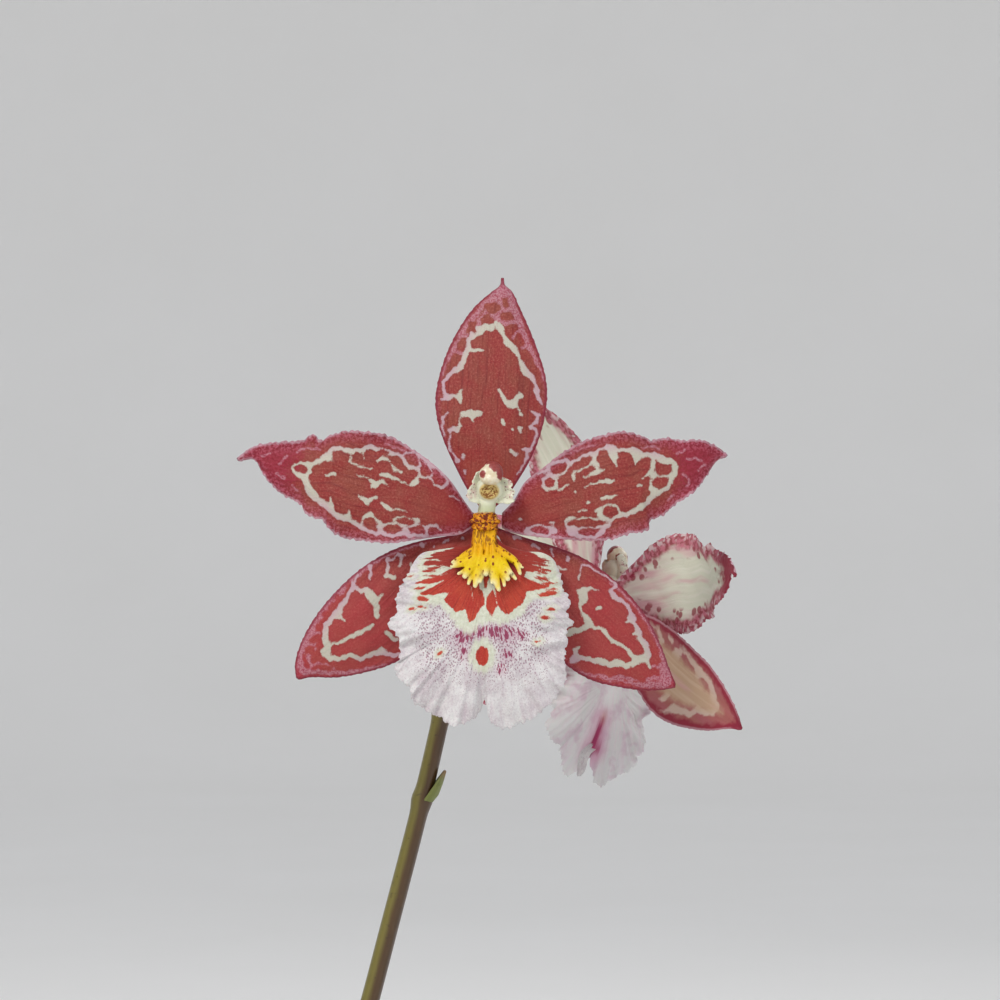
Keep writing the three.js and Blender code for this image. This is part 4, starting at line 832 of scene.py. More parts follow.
# Each lies between two edges, in mm from the heart, seen from the front. A line of the net is a row of
# places with its width at each, and a red cell has a place, half its width and height, and a tilt.
TEPALS = {
    "dorsal_sepal": {
        "edges": (
            [(-1.9, 2.7), (-4.6, 6.6), (-6.9, 11), (-9.2, 16), (-10.6, 20.5), (-11, 24.5), (-10.3, 29),
             (-8.7, 34), (-6.2, 39), (-3.2, 43.3), (0.2, 46.4), (1.7, 47.5), (2.2, 48.3), (2.2, 49.4)],
            [(0.8, 2.7), (3.6, 5.4), (5.8, 8.6), (8.1, 12.5), (9.9, 16.8), (11, 21), (11.5, 25.5),
             (11.1, 29.5), (9.6, 34.5), (7.9, 39), (6, 43.3), (4.5, 46.5), (2.9, 48.1), (2.8, 49.4)],
        ),
        "depth": {"base": 0.9, "bow": 2.2, "tip_back": 8, "edge_back": 1.6, "wave": 0.3, "waves": 2.5},
        "pale": [
            [(0.3, 38.9, 1.2), (-1, 38.9, 1.6), (-2.3, 38.3, 2.1), (-3.3, 37.6, 1.6), (-4, 36.6, 1.1),
             (-4.4, 35.4, 1.1), (-4.6, 34.2, 1.1), (-5.3, 32.4, 1.2), (-5.9, 31.1, 1.6), (-7.3, 30.1, 1),
             (-8.5, 29.1, 0.9), (-9.3, 28.1, 0.8), (-9.4, 26.9, 0.7), (-9.1, 25.6, 0.8), (-8.3, 24.9, 1.2),
             (-9.8, 24.6, 0.4)],
            [(-4.4, 34.3, 0.8), (-2, 34.5, 0.7), (-1.2, 34.3, 0.4)],
            [(-8.3, 25, 1), (-7, 25.2, 0.5), (-6.1, 25.2, 0.9)],
            [(-5.6, 26.6, 0.3), (-6.1, 25.1, 1), (-5.9, 24, 0.7)],
            [(0.3, 38.9, 1), (1.3, 40.2, 0.6), (1.5, 39.6, 1.2), (2.3, 38.6, 1.3), (2.8, 37.1, 1.2),
             (3.5, 35.9, 1.4), (4.5, 35.1, 1.1), (5.3, 33.9, 0.9), (6, 32.4, 1), (6.5, 30.9, 1.4),
             (7.3, 29.9, 1.6), (8.3, 29.1, 1), (9, 27.6, 0.9), (9.3, 26.1, 1.2), (9.7, 24.9, 1),
             (10.5, 23.4, 0.4)],
            [(1.8, 26.4, 0.8), (2.4, 25.1, 0.8), (3.2, 23.9, 1.1), (4.1, 23.5, 1.7), (5.2, 24.4, 1.3),
             (6, 25.3, 1.3)],
            [(4.6, 23.5, 0.4), (5.4, 22.9, 0.4), (6, 21.9, 0.4), (6.1, 21.5, 0.9)],
            [(-5.5, 21.6, 0.8), (-3.7, 21.6, 1.8), (-2, 21.8, 1.2)], [(-3.5, 21, 0.8), (-3.5, 20.2, 0.5)],
            [(-5.4, 21.6, 0.5), (-5.9, 21.1, 0.4), (-6.1, 19.9, 0.4), (-5.9, 19.2, 0.8), (-6.7, 18.5, 1.2),
             (-7.9, 18.5, 1), (-7.8, 17.6, 0.5), (-8.3, 16.1, 0.5), (-8, 14.6, 0.5), (-7, 13.1, 0.5),
             (-6.6, 12.4, 1.1)],
            [(-8.3, 21.9, 0.5), (-9.5, 20.9, 0.8), (-9.5, 19.4, 0.5), (-9.2, 17.4, 0.5)],
            [(-5.2, 13.5, 0.8), (-5.2, 12.9, 0.8)], [(-4.9, 10.3, 0.7), (-4.9, 9.8, 0.6)],
            [(2.6, 20.1, 1), (2.6, 19.5, 0.9)], [(6, 18.7, 1), (6, 18.1, 0.9)], [(4.4, 18.6, 0.6)],
            [(8, 22.4, 0.4), (9, 21.5, 0.6), (10.1, 21.5, 0.5)],
            [(9.3, 21.5, 0.5), (9.4, 20.6, 0.5), (9.3, 19.9, 0.9), (8, 19.05, 0.8), (9.3, 18.4, 0.7),
             (9.1, 16.4, 0.6), (8, 14.6, 0.7), (6.6, 14.6, 0.5)],
            [(7.7, 14.4, 0.5), (7.3, 13.4, 0.8), (7, 11.9, 0.5), (6, 10.4, 0.4), (5.5, 9.4, 0.4)],
            [(4.2, 14.3, 0.9), (5.2, 13.4, 0.8)],
        ],
        "mauve": [
            [(0.5, 44.9, 1.2), (-1, 44.1, 0.9), (-2, 42.9, 0.9), (-2.8, 41.6, 1), (-4.5, 39.9, 0.8),
             (-5.3, 38.6, 0.9), (-6.3, 36.9, 0.6), (-7, 35.1, 0.6), (-7.9, 33.4, 0.8), (-8.8, 31.4, 0.6),
             (-9.6, 29.6, 0.4)],
            [(4, 46.6, 1.2), (4.5, 43.6, 1.4), (5.5, 41.1, 1.2), (6.5, 38.6, 1), (7.5, 36.1, 1),
             (8.5, 33.9, 0.8), (9.3, 31.9, 0.7), (10.3, 30.4, 0.5), (10.8, 28.4, 0.4)],
            [(1, 45.3, 1.6), (2.4, 46.4, 2.6), (2.6, 48, 1.2)],
            [(2, 45, 0.9), (2.1, 42.6, 0.8), (1.2, 41.4, 0.9)],
            [(1.2, 41.4, 0.9), (-0.6, 42.2, 0.7), (-2.2, 40.2, 0.8), (-2.4, 39, 0.6)],
            [(1.4, 41.2, 0.6), (1.3, 40, 0.6)], [(2.1, 42.6, 0.7), (4.6, 42.6, 0.7)],
            [(3, 39.9, 0.6), (5.6, 40.4, 0.7)], [(2.2, 40, 0.5), (3.2, 39.8, 0.5)],
            [(4.6, 36.9, 0.5), (5, 37.8, 0.5), (6.2, 38.4, 0.6)], [(6.2, 34.8, 0.5), (7.6, 35.2, 0.6)],
            [(-4.6, 37.4, 0.6), (-5.6, 37.4, 0.6)], [(-5.4, 33.6, 0.6), (-7.4, 34.4, 0.5)],
        ],
        "cells": [
            (0.5, 43, 1.6, 1.2, 0), (-0.8, 40.6, 1, 0.8, 0), (3.1, 41.2, 1, 0.8, 0), (4, 38.4, 1.1, 1, 0),
            (5.9, 36.4, 0.8, 1.1, 0), (7, 33.4, 0.8, 1.4, -15), (-3.6, 39.2, 0.6, 1.2, 25),
            (-5.7, 35.5, 0.8, 1.3, 10), (-6.8, 32.8, 0.9, 1.1, 10), (-8.1, 31.4, 0.8, 0.9, 0),
        ],
        "crimson": (0.84, 1.0),
    },
    "left_petal": {
        "edges": (
            [(-3.6, -1.2), (-6, -2.5), (-10, -2.9), (-15, -3.6), (-20, -4.3), (-25, -3.9), (-30, -3),
             (-32.4, -1.2), (-33.2, 0.1), (-36.5, 1.3), (-38, 3.4), (-42, 5.6), (-45.3, 9), (-47.4, 12.4),
             (-50.8, 12.2)],
            [(-3.4, 1.8), (-5.4, 4.6), (-8, 8.4), (-12, 12.2), (-16, 15), (-20, 17.3), (-24.5, 18.1),
             (-28.5, 18.3), (-32, 17.4), (-33.9, 16.4), (-35.2, 17.7), (-37.5, 16.5), (-42, 16.2),
             (-47.5, 15.3), (-51.2, 12.8)],
        ),
        "depth": {"base": -0.8, "bow": 3.6, "tip_back": 7, "edge_back": 0.8, "wave": 1.1, "waves": 3.2},
        "pale": [
            [(-22.7, 14.7, 0.7), (-23.8, 15.05, 1.1), (-25, 14.7, 0.9), (-26, 14.3, 1), (-27.3, 14.05, 1),
             (-28.5, 14.3, 0.9), (-29.8, 14.7, 0.9), (-31, 14.55, 1), (-32, 13.8, 1.3), (-32.8, 12.9, 1.3),
             (-34, 12.05, 1), (-35.5, 11.55, 1), (-37.5, 11.7, 0.6), (-39, 11.5, 0.6), (-39.5, 10.8, 0.6),
             (-39, 10.05, 0.6), (-38, 9.3, 1), (-37, 8.8, 1.3), (-36.3, 7.3, 1.6), (-35.5, 5.8, 1.6),
             (-34.5, 4.55, 1.4), (-33, 3.55, 1.5), (-31.8, 2.8, 1.5), (-31, 1.55, 1.3), (-29.8, 1.05, 1.4),
             (-28.5, 0.9, 1.4), (-27.3, 0.05, 1), (-26, -0.7, 0.9), (-24.5, -1.7, 0.8), (-23, -2.2, 0.8),
             (-21.5, -2.2, 1.2), (-20.3, -2.7, 0.8), (-18.5, -2.6, 0.8), (-17.2, -2.2, 1), (-16, -2.7, 0.9),
             (-14.7, -2.6, 0.7), (-12.7, -2.9, 0.6)],
            [(-32, 12.8, 0.9), (-31, 12.05, 0.5)], [(-36, 11.3, 1), (-36, 10.2, 1), (-36.6, 9.2, 0.9)],
            [(-31.8, 4, 0.7), (-31.6, 4.8, 0.4)], [(-28.3, 1.2, 0.7), (-27.9, 2.2, 0.4)],
            [(-28.2, 14, 0.5), (-27.8, 13, 0.6), (-27.75, 11.9, 0.5), (-26.3, 11.3, 0.5),
             (-24.8, 10.8, 0.4), (-23.4, 10.55, 0.35)],
            [(-25.1, 13.8, 0.4), (-25.1, 12.5, 0.3)],
            [(-22.3, 12.3, 0.7), (-21.3, 12.7, 0.8), (-20.3, 12.3, 0.6), (-19.5, 11.3, 0.5),
             (-18.8, 10.3, 0.5), (-17.8, 9.9, 0.6)],
            [(-20.3, 13.3, 0.4), (-19.3, 13.7, 0.5), (-18, 13.3, 0.5), (-17.3, 12.55, 0.6),
             (-16.8, 11.55, 1), (-16, 11.05, 0.9), (-14.8, 10.55, 0.7), (-14.1, 10.5, 0.6)],
            [(-22.9, 14.6, 0.6), (-21.2, 14.5, 0.35), (-19.4, 13.9, 0.4)],
            [(-17.4, 13.3, 0.4), (-16, 14.1, 0.4), (-14.3, 13.4, 0.45), (-12.6, 12.2, 0.4),
             (-11.6, 11.2, 0.4)],
            [(-14.1, 13, 0.4), (-14, 11.8, 0.5), (-14.1, 10.5, 0.6), (-14.1, 9.05, 0.5), (-14.8, 8.3, 0.9),
             (-15, 7.7, 1)],
            [(-21.8, 9.4, 0.6), (-20.5, 9.3, 1), (-19, 8.8, 0.7), (-17.8, 8.05, 0.5), (-16, 7.4, 0.4),
             (-14.8, 7.8, 0.8)],
            [(-13.5, 8.8, 0.5), (-12.3, 9.05, 0.5), (-11.5, 8.3, 0.5), (-11, 7.3, 0.5), (-9.8, 6.9, 0.7),
             (-8.8, 7.5, 0.8), (-8.5, 8.3, 0.6), (-9, 9.55, 0.5), (-10, 10.55, 0.5), (-11.3, 11.05, 0.5),
             (-12, 11.3, 0.5), (-11.6, 10.05, 0.4), (-11.75, 8.8, 0.4)],
            [(-32.6, 9.4, 0.5), (-30.9, 9.55, 0.9)],
            [(-26.6, 9.55, 0.3), (-25, 9.05, 0.5), (-23.8, 8.4, 0.6), (-22.9, 7.6, 1.5),
             (-21.3, 8.05, 0.4)],
            [(-23, 7.6, 0.8), (-23.5, 6.9, 0.4)], [(-21.3, 8, 0.3), (-20, 7.05, 0.3)],
            [(-26, 5.3, 0.5), (-25, 4.55, 0.7), (-24.3, 4.05, 1), (-23.3, 4.8, 0.5), (-22.6, 5.05, 0.7)],
            [(-24.5, 3.8, 0.9)],
            [(-21.6, 3.7, 0.8), (-20.8, 3.05, 1), (-20, 2.55, 1), (-19.5, 2.8, 0.4), (-18, 2.4, 0.35),
             (-16.5, 2.05, 0.3)],
            [(-24.8, 1.05, 0.5), (-23.9, 1.55, 1.2), (-22.8, 0.9, 0.5), (-22, -0.45, 1)],
            [(-22, -0.45, 0.8), (-21.6, -1.8, 0.6)],
            [(-25.6, -0.6, 0.4), (-25.3, 0.6, 0.5), (-24.8, 1.05, 0.5)],
            [(-18.9, 0.7, 0.4), (-17.3, 1, 0.5), (-15.5, 0.7, 0.4), (-14.4, 0.3, 0.8)],
            [(-18.9, 0.6, 0.4), (-18.5, -0.45, 0.4), (-16.8, -0.8, 0.5), (-15.3, -0.45, 0.4),
             (-14.4, 0.3, 0.6)],
            [(-21.3, -0.6, 0.5), (-19.4, -0.1, 0.4), (-17.8, -0.6, 0.5)],
            [(-17, -1, 0.6), (-16.75, -1.7, 1.4)], [(-15.5, -0.5, 0.4), (-12.7, -0.9, 0.5)],
            [(-12.8, -2.4, 0.6), (-12.7, -1.2, 0.5), (-12, -0.6, 0.6), (-11, -0.6, 0.6),
             (-9.8, -1.45, 0.6)],
            [(-6, -1.95, 0.6), (-5.2, -2.4, 0.5)], [(-8, 5.2, 0.45), (-6.2, 4.4, 0.4)],
        ],
        "mauve": [
            [(-13, -3.1, 0.5), (-10, -2.6, 0.5), (-7, -2.3, 0.5)],
            [(-34, 14.4, 0.5), (-36.5, 14.8, 0.4), (-38.6, 14, 0.5)],
            [(-40.6, 13.2, 0.4), (-42, 11.6, 0.5)], [(-41, 8.6, 0.5), (-42.6, 9.8, 0.4)],
            [(-44, 13.6, 0.4), (-45.8, 13.2, 0.4)], [(-38.4, 6.2, 0.4), (-39.4, 7.4, 0.5)],
            [(-21, 15.6, 0.4), (-18, 14.6, 0.4), (-15.4, 13.2, 0.4)],
            [(-13.4, 12.2, 0.3), (-10.8, 10.4, 0.35)],
        ],
        "cells": [
            (-37.95, 10.7, 1, 0.6, -10), (-29.7, 12.8, 1.7, 1.2, 0), (-26.4, 12.8, 1, 1.15, 0),
            (-23.75, 13.2, 1.3, 1.1, 0), (-18.6, 12.05, 1.4, 0.9, -40), (-15.4, 12.7, 1.3, 0.9, -35),
            (-13, 10.4, 0.85, 1.2, 0), (-10.3, 8.9, 0.85, 1.35, 35), (-26.5, 1.3, 1.2, 0.95, 0),
            (-23.9, -0.2, 1.45, 0.95, 0), (-19.4, -1.3, 1.5, 0.9, 0), (-16.75, 0.2, 1.6, 0.65, -8),
            (-14.25, -1.4, 1.1, 0.8, 0), (-11.25, -1.8, 1, 0.55, 0),
        ],
        "crimson": (0.62, 0.84),
    },
    "right_petal": {
        "edges": (
            [(2.4, 1.8), (4.8, 4.4), (7, 8), (10.5, 10.8), (14.5, 14), (18.5, 16.2), (22.5, 17.5),
             (26.5, 18.2), (30, 17.4), (32.3, 16.5), (35, 17), (38.5, 16.5), (42.2, 16.6), (45.4, 15.4),
             (48, 13.5)],
            [(2.4, -1.2), (5, -2.3), (9, -2.9), (14, -3.4), (19, -3.8), (24, -3.6), (28, -2.4),
             (31.6, -1.7), (32, 0.1), (34.6, 1.2), (37, 3.3), (41, 6), (43.6, 9.2), (45.8, 12.3),
             (47.6, 13)],
        ),
        "depth": {"base": -0.8, "bow": 3.6, "tip_back": 7, "edge_back": 0.8, "wave": 1.1, "waves": 3.2},
        "pale": [
            [(9.5, 9.5, 0.4), (11, 10.3, 0.7), (11.8, 11.3, 0.7), (13.5, 12.05, 0.8), (15, 12.5, 0.7),
             (16, 11.6, 0.9), (17, 12.2, 0.7), (18, 12.9, 0.7), (19.5, 13.4, 0.8), (20.7, 13.5, 1.2),
             (21.8, 14.2, 0.8), (22.8, 14.55, 0.9), (23.9, 14.8, 1.4), (25, 14.4, 1), (26, 14.2, 0.8),
             (27, 14.4, 0.8), (28.3, 14.3, 1.2), (29.8, 13.5, 1.4), (31, 13.4, 1), (32.5, 13.2, 1.3),
             (33.5, 12.9, 1.6), (34.7, 12.3, 1.5), (35.8, 12.1, 1.3), (36.7, 11.8, 1.1), (37, 11, 1.3),
             (36.9, 10, 1.3), (36.3, 9, 1.1), (36, 7.8, 1), (35.2, 6.8, 1), (34, 6.3, 1), (33, 5.8, 1.4),
             (32, 4.8, 1.3), (31, 3.8, 1.1), (29.8, 2.8, 1.2), (28.5, 2.2, 1.2), (27.3, 1.55, 1),
             (26, 1.2, 0.8), (24.8, 0.9, 0.6), (23.8, 0.3, 0.9), (23.3, -0.95, 0.9), (22.3, -1.95, 1.2),
             (21, -2.95, 0.9), (19.8, -3.1, 0.7), (18, -2.9, 0.8), (16.8, -2.4, 1), (15.8, -1.7, 1.2),
             (15.1, -0.7, 0.7), (15.3, 0.3, 0.8), (16, 0.8, 0.5)],
            [(24, 14.5, 1.8), (24.8, 12.8, 1.4), (25.1, 11, 0.4)],
            [(28.5, 14, 1.4), (29.3, 12.8, 1.6), (28.8, 11.6, 0.5)],
            [(20.8, 13.4, 0.7), (20.8, 11.9, 0.8), (21.5, 11.3, 0.6), (21.3, 10.05, 0.7), (20, 9.3, 0.6),
             (18.5, 8.8, 0.4)],
            [(21.3, 10.1, 0.9), (22.8, 10.3, 0.4)],
            [(20.6, 11.6, 0.5), (18.8, 10.7, 0.5), (17.3, 10.2, 0.55), (16.5, 9.5, 0.6), (16.9, 8.05, 0.5)],
            [(11.9, 11.2, 0.5), (11.7, 9.6, 0.5), (13, 9.2, 0.5), (14.8, 9.8, 0.4)],
            [(15.3, 12.2, 0.4), (15.6, 11, 0.4), (15, 10, 0.4)],
            [(11.9, 9.4, 0.7), (10.7, 8.6, 0.7), (10.6, 7.2, 0.7), (11.8, 6.4, 0.7), (13.2, 7, 0.7),
             (13.3, 8.4, 0.7), (12.2, 9.2, 0.7)],
            [(32.3, 11.4, 0.8), (32.3, 10.3, 0.9), (30.3, 8.7, 0.3)], [(32.1, 6.8, 1)],
            [(32.3, 9.2, 0.5), (34.5, 9.2, 0.5), (36, 9.2, 0.6)], [(32.4, 12.9, 0.6), (32.5, 9.4, 0.5)],
            [(32.6, 9.2, 0.4), (32.1, 8, 0.4), (32.1, 6.8, 0.6), (33, 5.9, 0.6)],
            [(22, 2.4, 0.7), (22.8, 3.1, 0.5), (24.2, 3.6, 0.5), (25.6, 3, 0.5), (25.8, 1.6, 0.6)],
            [(21, 2.4, 0.6), (22.1, 2.55, 0.7), (21.8, 1.55, 1), (22.8, 0.8, 0.5), (23.6, 0.6, 0.5)],
            [(16, 0.8, 0.5), (19, 0.9, 0.4), (22.6, 0.6, 0.5)],
            [(17, -1.1, 0.5), (20, -1.1, 0.4), (23, -0.8, 0.5)],
            [(7, -1.95, 0.5), (9.3, -2.45, 0.5), (11.5, -2.7, 0.5), (12.75, -1.7, 1.4)], [(7.6, -1.8, 1.4)],
            [(8, -1, 0.5), (9.8, -0.5, 0.45), (11.5, -0.9, 0.5), (12.6, -1.5, 0.6)],
            [(12.1, -0.1, 0.5), (12.6, -0.1, 0.5)], [(6.1, 0.55, 0.7)],
            [(18.9, 6.8, 0.5), (20, 7.55, 0.4), (22, 8.05, 0.7), (23.6, 8.1, 1.2), (24.8, 8.4, 0.3)],
            [(29.5, 7.1, 0.7), (30.1, 7.3, 0.6)], [(13.8, 6.3, 0.5), (14.8, 7.05, 0.5), (15.6, 7.4, 0.4)],
            [(17, 5.9, 0.8)], [(22.3, 4.6, 0.8), (23.7, 5, 0.9), (25.3, 5.3, 0.3)],
            [(19.4, 3.8, 0.6), (19.8, 3.8, 0.6)], [(17.8, 2.3, 0.4), (19.2, 2.35, 0.4)], [(16.5, -1.7, 2)],
        ],
        "mauve": [
            [(14, -3, 0.4), (10, -2.6, 0.4), (7, -2.2, 0.4)],
            [(30.4, 14.8, 0.4), (32, 15.2, 0.4), (33.6, 14.6, 0.5)], [(37.4, 13.6, 0.5), (39, 14.4, 0.4)],
            [(39.4, 12.4, 0.4), (41, 12.9, 0.5), (42.4, 12.2, 0.4)],
            [(38.6, 9.6, 0.4), (39.8, 8.4, 0.5), (39.4, 7, 0.4)], [(35.6, 4.4, 0.5), (36.8, 5.4, 0.4)],
            [(41.6, 10.4, 0.4), (43, 11.4, 0.4)], [(21, 15.4, 0.35), (18, 14.6, 0.35), (15, 13.4, 0.3)],
        ],
        "cells": [
            (13.5, 10.5, 1.5, 0.8, 15), (12, 7.8, 0.8, 0.7, 0), (18.6, 11.8, 1.5, 0.7, 15),
            (34.2, 10.5, 1.35, 0.75, 10), (33.75, 7.6, 1.3, 0.9, 20), (24, 2.3, 1.4, 0.95, 0),
            (19.4, -0.1, 3.4, 0.7, 0), (19.4, -1.95, 1.4, 0.75, 0), (9.8, -1.5, 1.4, 0.6, 0),
            (22.6, 13.05, 1.15, 1.2, 0), (27, 12.9, 1.1, 1.1, 0), (31.1, 11.8, 0.9, 1.1, 0),
        ],
        "crimson": (0.64, 0.86),
    },
    "left_sepal": {
        "edges": (
            [(-1.1, -2.8), (-4.5, -8), (-8.2, -14.5), (-12, -21.2), (-16, -26.3), (-20, -28.7),
             (-25, -30.3), (-31, -31.4), (-36, -31.4), (-38.7, -31.9)],
            [(-3.1, -1.3), (-8, -2.7), (-14, -3.8), (-20, -5.8), (-26, -9.4), (-31.5, -14.5),
             (-35.6, -19.7), (-38.4, -25), (-39.4, -28.8), (-39.2, -31.5)],
        ),
        "depth": {"base": 0.9, "bow": 1.2, "tip_back": 6, "edge_back": 1.6, "wave": 0.3, "waves": 2},
        "pale": [
            [(-26.5, -10.5, 0.5), (-26.8, -11.1, 0.5), (-27.5, -12.7, 0.9), (-28, -14, 0.8),
             (-29, -15.8, 1.2), (-29.8, -16.9, 1.2), (-30.5, -18.2, 1.7), (-31.8, -19.4, 1.3),
             (-32.7, -20.5, 1.2), (-33.1, -22, 1.3), (-33, -23.6, 1.3), (-32.7, -24.9, 1.6),
             (-33.1, -26.2, 1.8), (-32, -27.4, 1.2), (-30.2, -27.4, 1), (-29, -26.9, 1),
             (-27.6, -26.7, 0.9), (-26.2, -27.4, 1), (-24.5, -26.9, 1), (-23.1, -26.2, 1.2),
             (-21.8, -25.9, 1.8), (-20.5, -26.5, 1), (-18.9, -26.7, 1), (-16.8, -26.2, 0.6)],
            [(-30.5, -19, 0.8), (-29.1, -19.6, 0.6)],
            [(-27.2, -13.1, 0.8), (-25.8, -13.8, 1.1), (-24.5, -13.7, 1.2), (-24, -14.7, 2.2),
             (-23.1, -15.8, 2), (-22.7, -16.9, 1.2), (-22.6, -18.7, 1.3)],
            [(-22.8, -15.4, 0.9), (-21.2, -14.5, 0.3)],
            [(-32.3, -24.7, 0.5), (-30.5, -24.3, 0.6), (-29.1, -23.6, 0.9), (-27.6, -22.9, 1),
             (-25.4, -21.8, 1), (-23.5, -20.7, 0.8)],
            [(-20.7, -22, 0.8), (-19.6, -23.1, 1), (-18.6, -23.6, 0.7)],
            [(-24, -8.9, 1), (-24, -11.4, 0.6)],
            [(-20.5, -7.4, 0.6), (-20.5, -10.2, 0.7), (-20.7, -10.9, 1), (-19.1, -11, 1)],
            [(-20, -7.8, 0.4), (-18.5, -6.5, 0.5), (-16.9, -6.8, 0.5)],
            [(-17.9, -6.9, 0.7), (-17.7, -7.4, 0.6), (-18, -8.9, 0.6)], [(-13.6, -4.7, 1.2)],
            [(-11.2, -5, 0.7)], [(-15.9, -8.2, 0.6), (-15.2, -9.8, 0.5)],
            [(-8.4, -3.7, 0.8), (-9.4, -4.1, 0.6)], [(-5.6, -3.3, 0.7)],
            [(-8.6, -5.9, 0.5), (-10, -6.4, 0.4)],
        ],
        "mauve": [
            [(-13, -4.2, 0.4), (-18, -5.6, 0.5), (-21, -6.9, 0.6), (-24, -8.3, 1.1), (-26.7, -10.5, 1.2),
             (-28.5, -12, 1.3), (-30, -13.6, 1.3), (-31.4, -15, 1.3), (-32.7, -16.5, 1.3),
             (-34, -18.5, 1.3), (-35.1, -20.5, 1.2), (-36.5, -22.5, 1.2), (-37.6, -24.7, 1.2),
             (-38.2, -26.7, 1.2), (-38.2, -29.1, 1.2), (-37.6, -30.4, 1)],
            [(-37.4, -30, 1), (-33, -30.3, 0.8), (-28.5, -30.3, 0.8), (-24, -29.4, 0.7),
             (-20.7, -28.7, 0.5)],
            [(-35, -25.6, 0.5), (-36.6, -26.8, 0.6), (-36, -28.8, 0.6), (-33.6, -28.3, 0.5),
             (-31.6, -29.3, 0.5)],
            [(-34.2, -22.4, 0.5), (-35.9, -22.5, 0.6)], [(-35.1, -24.6, 0.4), (-37, -24.6, 0.6)],
            [(-29.2, -13.9, 0.4), (-30.3, -14.4, 0.5)], [(-31.2, -16, 0.4), (-32.1, -16, 0.5)],
        ],
        "cells": [
            (-28.4, -12.6, 0.7, 0.6, 45), (-30.7, -15, 0.8, 0.45, 45), (-32, -16.8, 0.9, 0.45, 50),
            (-33.2, -18.3, 0.8, 0.45, 50), (-34.6, -21.3, 0.5, 0.8, 10), (-35.1, -23.5, 0.9, 0.7, 0),
            (-35.9, -26, 0.8, 0.8, 0), (-37.2, -27.8, 0.5, 0.4, 0), (-33.9, -27.9, 1.2, 0.5, 0),
            (-33, -29.2, 1.8, 0.5, 0),
        ],
        "crimson": (0.8, 1.0),
    },
    "right_sepal": {
        "edges": (
            [(1.7, -1.2), (7, -3.1), (13, -4.9), (18.5, -7.1), (23.5, -10.4), (28.3, -14.9), (32, -20),
             (34.6, -25.2), (36.2, -29.6), (37.5, -32.8)],
            [(-0.1, -2.8), (3.6, -9), (7.6, -17), (11.8, -24.8), (16, -29.3), (20.5, -31.9), (25.5, -33.2),
             (30.5, -34), (34.6, -34), (37.4, -33.5)],
        ),
        "depth": {"base": 0.9, "bow": 1.2, "tip_back": 6, "edge_back": 1.6, "wave": 0.3, "waves": 2},
        "pale": [
            [(25.3, -12.5, 0.5), (24.2, -13.8, 1), (25.1, -15.1, 1.2), (26.4, -16, 0.9), (27.5, -16.5, 0.8),
             (28, -17.8, 0.9), (28.4, -19.1, 1.6), (29.1, -20.7, 0.9), (29.8, -22, 1.2), (30, -23.4, 1.2),
             (31.1, -24.5, 1.2), (31.5, -25.8, 1.6), (31.3, -27.1, 1.6), (30, -27.6, 1.6),
             (28.6, -28.5, 1.4), (27.3, -28.9, 1.2), (25.5, -28.2, 1.8), (23.8, -28.5, 1.3),
             (22, -27.8, 1.5), (20.6, -27.6, 1.2), (18.9, -27.4, 1), (17.5, -27.1, 1.3),
             (16.6, -27.8, 1.5)],
            [(17.1, -27, 0.9), (17.1, -25.8, 1.2), (17.8, -24.9, 0.6)],
            [(28.2, -19.8, 0.6), (27.1, -20, 0.4)], [(29.5, -22.3, 0.7), (28.6, -22.5, 0.5)],
            [(31.5, -27.6, 0.8), (32.2, -29.4, 0.5)],
            [(17.4, -13.6, 0.6), (18.6, -14.2, 1.8), (18.6, -15.4, 1.9), (18.2, -16.4, 1),
             (18.1, -16.9, 0.7), (18.2, -18.2, 0.6), (19.1, -19.1, 1), (19.8, -20.2, 1.4),
             (21.1, -21.1, 0.7), (22.4, -21.4, 0.7), (23.3, -22.5, 1), (24.6, -23.8, 0.9),
             (26.2, -24.7, 0.9), (27.5, -25.4, 0.8), (28.4, -26.7, 1), (29.3, -27.6, 1)],
            [(18.6, -13.8, 1), (20.2, -13.3, 0.6), (21.8, -13.8, 0.3)],
            [(19.8, -20.7, 1.1), (18.4, -21.4, 1.2), (16.6, -21.8, 1.5), (15.5, -22.5, 1.3)],
            [(21.4, -17.3, 0.9), (22, -17.2, 0.8)],
            [(17.6, -11.4, 0.5), (18.1, -10, 0.5), (18.2, -8.7, 0.5), (19.5, -8.7, 0.5), (20.9, -9.4, 0.5),
             (22, -10.2, 0.5), (24.2, -11.4, 0.5), (25.3, -12.5, 0.5)],
            [(13.5, -9.2, 0.8), (15.5, -9.7, 0.3)], [(15.5, -7.2, 0.8), (15.5, -7.8, 0.8)],
            [(4.8, -3.1, 0.9), (6, -3.3, 0.8)], [(8.6, -4.7, 0.9), (9.8, -5.3, 0.6)],
            [(12.2, -5.6, 0.6), (12.6, -7, 0.4)],
        ],
        "mauve": [
            [(24, -12.2, 0.3), (27, -14.7, 0.4), (29.3, -16.9, 0.6), (30.6, -18.7, 0.8), (32.2, -20.9, 0.9),
             (33.5, -23.4, 1), (34.6, -25.6, 1.1), (35.1, -28, 1.6), (35.3, -30.2, 2.2),
             (35.6, -32.2, 1.6)],
            [(17.5, -30, 0.4), (19.5, -30.7, 0.5), (22, -30.9, 0.8), (23.8, -31.6, 0.9), (26, -31.4, 1.5),
             (28.2, -31.8, 1.3), (30, -32.7, 1), (33.1, -32.9, 1.2), (35.4, -32.6, 1.4)],
            [(34.4, -29, 0.5), (32.4, -29.2, 0.5)], [(34.6, -31.2, 0.8), (31.6, -31.6, 0.7)],
        ],
        "cells": [
            (33, -27.6, 0.75, 1.3, 15), (33.2, -30.2, 0.7, 0.9, 20), (30, -30, 2.2, 0.8, -8),
